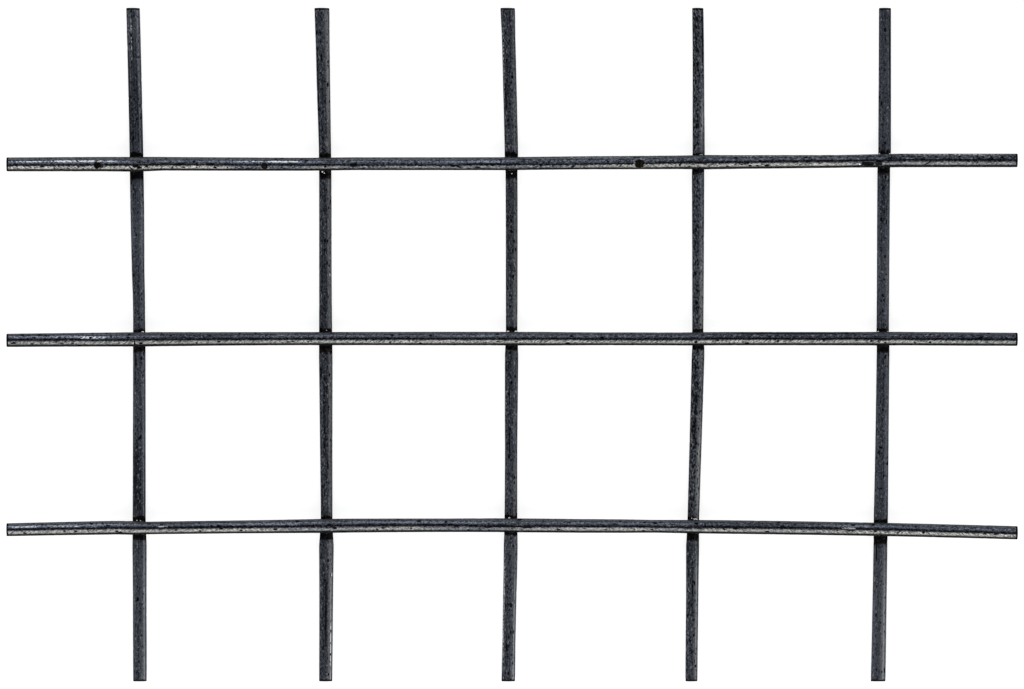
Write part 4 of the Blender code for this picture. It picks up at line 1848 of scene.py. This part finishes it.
BACK_WIRE = Look(
    jogs=(
        (-135, -0.05), (-110, 0.05), (-101, 0), (-94, 0.15), (-55, -0.05), (-42, 0.05), (-4, -0.15),
        (22, -0.05), (86, -0.15), (104, 0), (135, -0.2),
    ),
    widths=(
        (-135, 0.1), (-112, 0.15), (-100, 0.2), (-93, 0.05), (-70, 0), (-40, -0.05), (-6, -0.05),
        (20, 0), (46, 0.05), (52, 0.15), (62, 0.05), (90, -0.05), (104, 0.05), (135, 0.05),
    ),
    pale=(
        (-135, 1), (-88, 1), (-79, 0.85), (-74, 0.05), (-58, 0.05), (-52, 0.4), (-47, 0.35),
        (-43, 0.06), (-37, 0.06), (-29, 0.32), (-19, 0.2), (5, 0.15), (12, 0.12), (21, 0.4), (28, 0.6),
        (33, 0.85), (56, 0.88), (62, 0.7), (69, 0.85), (80, 1), (87, 0.85), (94, 0.35), (106, 0.28),
        (118, 0.45), (129, 0.3), (135, 0.3),
    ),
    turned=(
        (-135, 8), (-50, 8), (-43, 13), (-16, 13), (-8, 9), (5, 8), (12, 12), (33, 12), (42, 4),
        (62, 3.5), (70, -3.5), (135, -3.5),
    ),
    leaning=((-116, 0.9), (-112, 0.1), (-90, 0.5), (135, 0.5)),
    sheen=(
        (-135, 1), (-106, 1), (-100, 0.05), (-92, 0.35), (-80, 0.35), (-72, 1), (-56, 0.8), (-48, 0.3),
        (-38, 0.35), (-28, 0.4), (-19, 0.85), (-3, 1), (3, 0.15), (12, 0.25), (21, 0.5), (32, 0.45),
        (42, 0.2), (60, 0.12), (90, 0.1), (98, 0), (135, 0),
    ),
    specks=((0, 2),),
    tone=((20, 0), (70, 0), (104, 0.005), (118, -0.025), (135, -0.005)),
    marks=(
        Mark(SHINE, -128.5, -22, 12, 0.45, strength=0.9),
        Mark(SHINE, -107.5, -24, 6, 0.45, strength=0.7),
        Mark(SHINE, 76, -60, 56, 0.7, strength=0.6),
        Mark(SHINE, 119, -58, 32, 0.7, strength=0.7),
        Mark(SHINE, 24, -60, 24, 0.6, strength=0.6),
        Mark(SHINE, -116.8, -24, 14.5, 0.6),
        Mark(PIT, -111.1, 12, 1.9, 2),
        Mark(SCUFF, -110, 24, 1.5, 0.9),
        Mark(NICK, -120.7, 50, 1.1, 0.6),
        Mark(NICK, -116.2, 26, 0.7, 0.5),
        Mark(NICK, -125.9, 20, 1.3, 0.45),
        Mark(NICK, -122.6, 34, 0.6, 0.45),
        Mark(NICK, -102, 40, 1.7, 0.35, slant=50),
        Mark(NICK, -100.2, 34, 1.4, 0.35, slant=-45),
        Mark(SCUFF, -100.8, 20, 2.2, 0.8),
        Mark(SCUFF, -88.9, 4, 3.8, 0.7),
        Mark(NICK, -87.8, 34, 0.7, 0.55),
        Mark(NICK, -84.3, 38, 0.5, 0.45),
        Mark(NICK, -79.5, 35, 1.2, 0.6, slant=25),
        Mark(NICK, -76.2, 34, 0.5, 0.4),
        Mark(PIT, -66.3, 18, 1.8, 2.1),
        Mark(SHINE, -61.2, -21, 9, 0.6),
        Mark(SHINE, -70, -22, 8, 0.4, strength=0.8),
        Mark(SCUFF, -42.5, 14, 2.6, 1.2),
        Mark(SCUFF, -40, 9, 1, 0.5),
        Mark(NICK, -29.8, 36, 0.8, 0.4),
        Mark(NICK, -24.5, 20, 0.5, 0.45),
        Mark(NICK, -15.8, 22, 1.1, 0.8),
        Mark(NICK, -14.4, 27, 1.9, 0.6, slant=25),
        Mark(CRUST, -8, 30, 5, 0.6, strength=0.5),
        Mark(GROOVE, -8, 1, 13.5, 0.3),
        Mark(SHINE, -4.6, -8, 6, 0.25, strength=0.5),
        Mark(NICK, -9.2, 35, 1.6, 0.5),
        Mark(CRUST, 5.5, 27, 3.4, 0.6, strength=0.4),
        Mark(NICK, 7.7, 20, 0.6, 1.2),
        Mark(NICK, 16.5, 28, 1, 0.35),
        Mark(SHINE, 29, 22, 9, 0.3, strength=0.6),
        Mark(PIT, 34.2, 15, 2.5, 2.5, rim=0.5),
        Mark(CRUST, 36.8, 26, 1.6, 0.7),
        Mark(CRUST, 60.6, 30, 2, 0.9),
        Mark(NICK, 57.7, 42, 0.9, 0.45),
        Mark(NICK, 61.5, 24, 0.6, 0.5),
        Mark(NICK, 65.7, 36, 1, 0.45),
        Mark(SHINE, 92.9, 28, 1.2, 0.6),
        Mark(NICK, 94.4, 24, 1.7, 1.1),
        Mark(SCUFF, 95.6, 30, 3.4, 1.6),
        Mark(SCUFF, 98.2, 22, 2.4, 1.7),
        Mark(NICK, 100.4, 52, 1.3, 0.35, slant=40),
        Mark(NICK, 103.8, 42, 1, 0.4, strength=0.7),
        Mark(NICK, 104.5, -66, 0.8, 0.5),
        Mark(SCUFF, 111.2, 28, 2.8, 0.6, slant=-32),
    ),
)
CROSS_LOOKS = (FRONT_WIRE, MIDDLE_WIRE, BACK_WIRE)

BEADS = (
    Bead(1, 2, -0.7, -1.95, 0.55),
    Bead(1, 2, -0.2, -2.35, 0.36),
    Bead(2, 2, 0.1, -2.6, 0.34),
    Bead(3, 2, 0.7, 1.85, 0.75, 1.5),
    Bead(4, 2, 1.35, 1.8, 0.6),
    Bead(4, 2, -1.3, 1.8, 0.5),
    Bead(0, 1, 0.95, 1.85, 0.7, 1.3),
    Bead(1, 1, 0.3, 2.2, 0.32),
    Bead(2, 1, -0.95, 1.85, 0.6, 1.4),
    Bead(2, 1, 1.15, 1.85, 0.7, 1.4),
    Bead(4, 1, -1.3, 1.8, 0.55),
    Bead(4, 1, 1.2, 1.8, 0.55),
    Bead(2, 0, -0.4, 1.85, 0.6, 1.3),
    Bead(3, 0, 0.5, 1.85, 0.75, 1.9),
    Bead(3, 0, -0.4, 2.2, 0.36),
    Bead(0, 0, -0.5, 1.9, 0.42),
    Bead(0, 0, 0.4, 1.85, 0.42),
)


def keep(piece: bpy.types.Object, material: bpy.types.Material) -> None:
    """Gives a piece its finish and makes it part of the panel.

    Args:
        piece: the piece, in place.
        material: its finish.
    """
    piece.data.materials.append(material)
    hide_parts(PANEL_NODE)
    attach(piece, PANEL_BODY)
    log.info("%s: %d faces", piece.name, len(piece.data.polygons))


@dataclass
class Panel:
    """The welded panel: its wires, and the metal that its welds squeezed and threw out."""

    survey: PanelSurvey
    line_looks: tuple[Look, ...]
    cross_looks: tuple[Look, ...]
    beads: tuple[Bead, ...]
    crossings: dict[tuple[int, int], tuple[float, float]] = field(init=False)
    line_seed: int = 11
    cross_seed: int = 31
    spatter_seed: int = 71
    flash_seed: int = 101
    seeds_for_a_wire: int = 10

    def __post_init__(self) -> None:
        """Finds the crossings, by the numbers of the line wire and the cross wire."""
        self.crossings = {
            (i, j): self.survey.crossing(line_wire, cross_wire)
            for i, line_wire in enumerate(self.survey.line_wires)
            for j, cross_wire in enumerate(self.survey.cross_wires)
        }

    def build(self) -> None:
        """Builds every piece."""
        self.build_line_wires()
        self.build_cross_wires()
        self.build_welds()

    def build_line_wires(self) -> None:
        """Builds the wires underneath."""
        finish = WireFinish("line_wire_steel").material()
        for i, (course, look) in enumerate(zip(self.survey.line_wires, self.line_looks)):
            wire = LineWire(
                name=f"line_wire_{i + 1}",
                course=course,
                welds=tuple(self.crossings[i, j][1] for j in range(len(self.cross_looks))),
                seed=self.line_seed + i,
                look=look,
                partners=self.survey.cross_wires,
            )
            keep(wire.build(), finish)

    def build_cross_wires(self) -> None:
        """Builds the wires on top."""
        finish = BandedReflectionWireFinish("cross_wire_steel").material()
        for j, (course, look) in enumerate(zip(self.survey.cross_wires, self.cross_looks)):
            wire = CrossWire(
                name=f"cross_wire_{j + 1}",
                course=course,
                welds=tuple(self.crossings[i, j][0] for i in range(len(self.line_looks))),
                seed=self.cross_seed + j,
                look=look,
            )
            keep(wire.build(), finish)

    def build_welds(self) -> None:
        """Builds the lips of metal at the crossings, and the droplets beside them."""
        finish = WeldFinish("weld_metal").material()
        # The spatter beads are near white: their glints are painted into the colour
        glint_weld_finish = WeldFinish(
            "weld_metal_painted_glint",
            burnt=(0.5, 0.5, 0.48),
            fleck=(0.9, 0.89, 0.85),
            fleck_share=0.8,
            metallic=0.4,
            roughness=0.3,
        ).material()
        line_crown = self.survey.line_diameter
        contact = (line_crown + self.survey.high.z - self.survey.cross_diameter) / 2
        for (i, j), (x, y) in self.crossings.items():
            seed = self.flash_seed + self.seeds_for_a_wire * i + j
            keep(WeldFlash(f"weld_flash_{i + 1}_{j + 1}", (x, y, contact), seed).build(), finish)
        spatter = Spatter("weld_spatter", self.beads, self.spatter_seed)
        keep(spatter.build(self.crossings, line_crown), glint_weld_finish)


def main() -> None:
    """Builds the panel piece by piece, then the studio round it."""
    logging.basicConfig(level=logging.INFO, format="%(name)s: %(message)s")
    survey = PanelSurvey(PANEL_NODE, LINE_LOOKS, CROSS_LOOKS)
    Panel(survey, LINE_LOOKS, CROSS_LOOKS, BEADS).build()
    Studio().build()


if __name__ == "__main__":
    main()
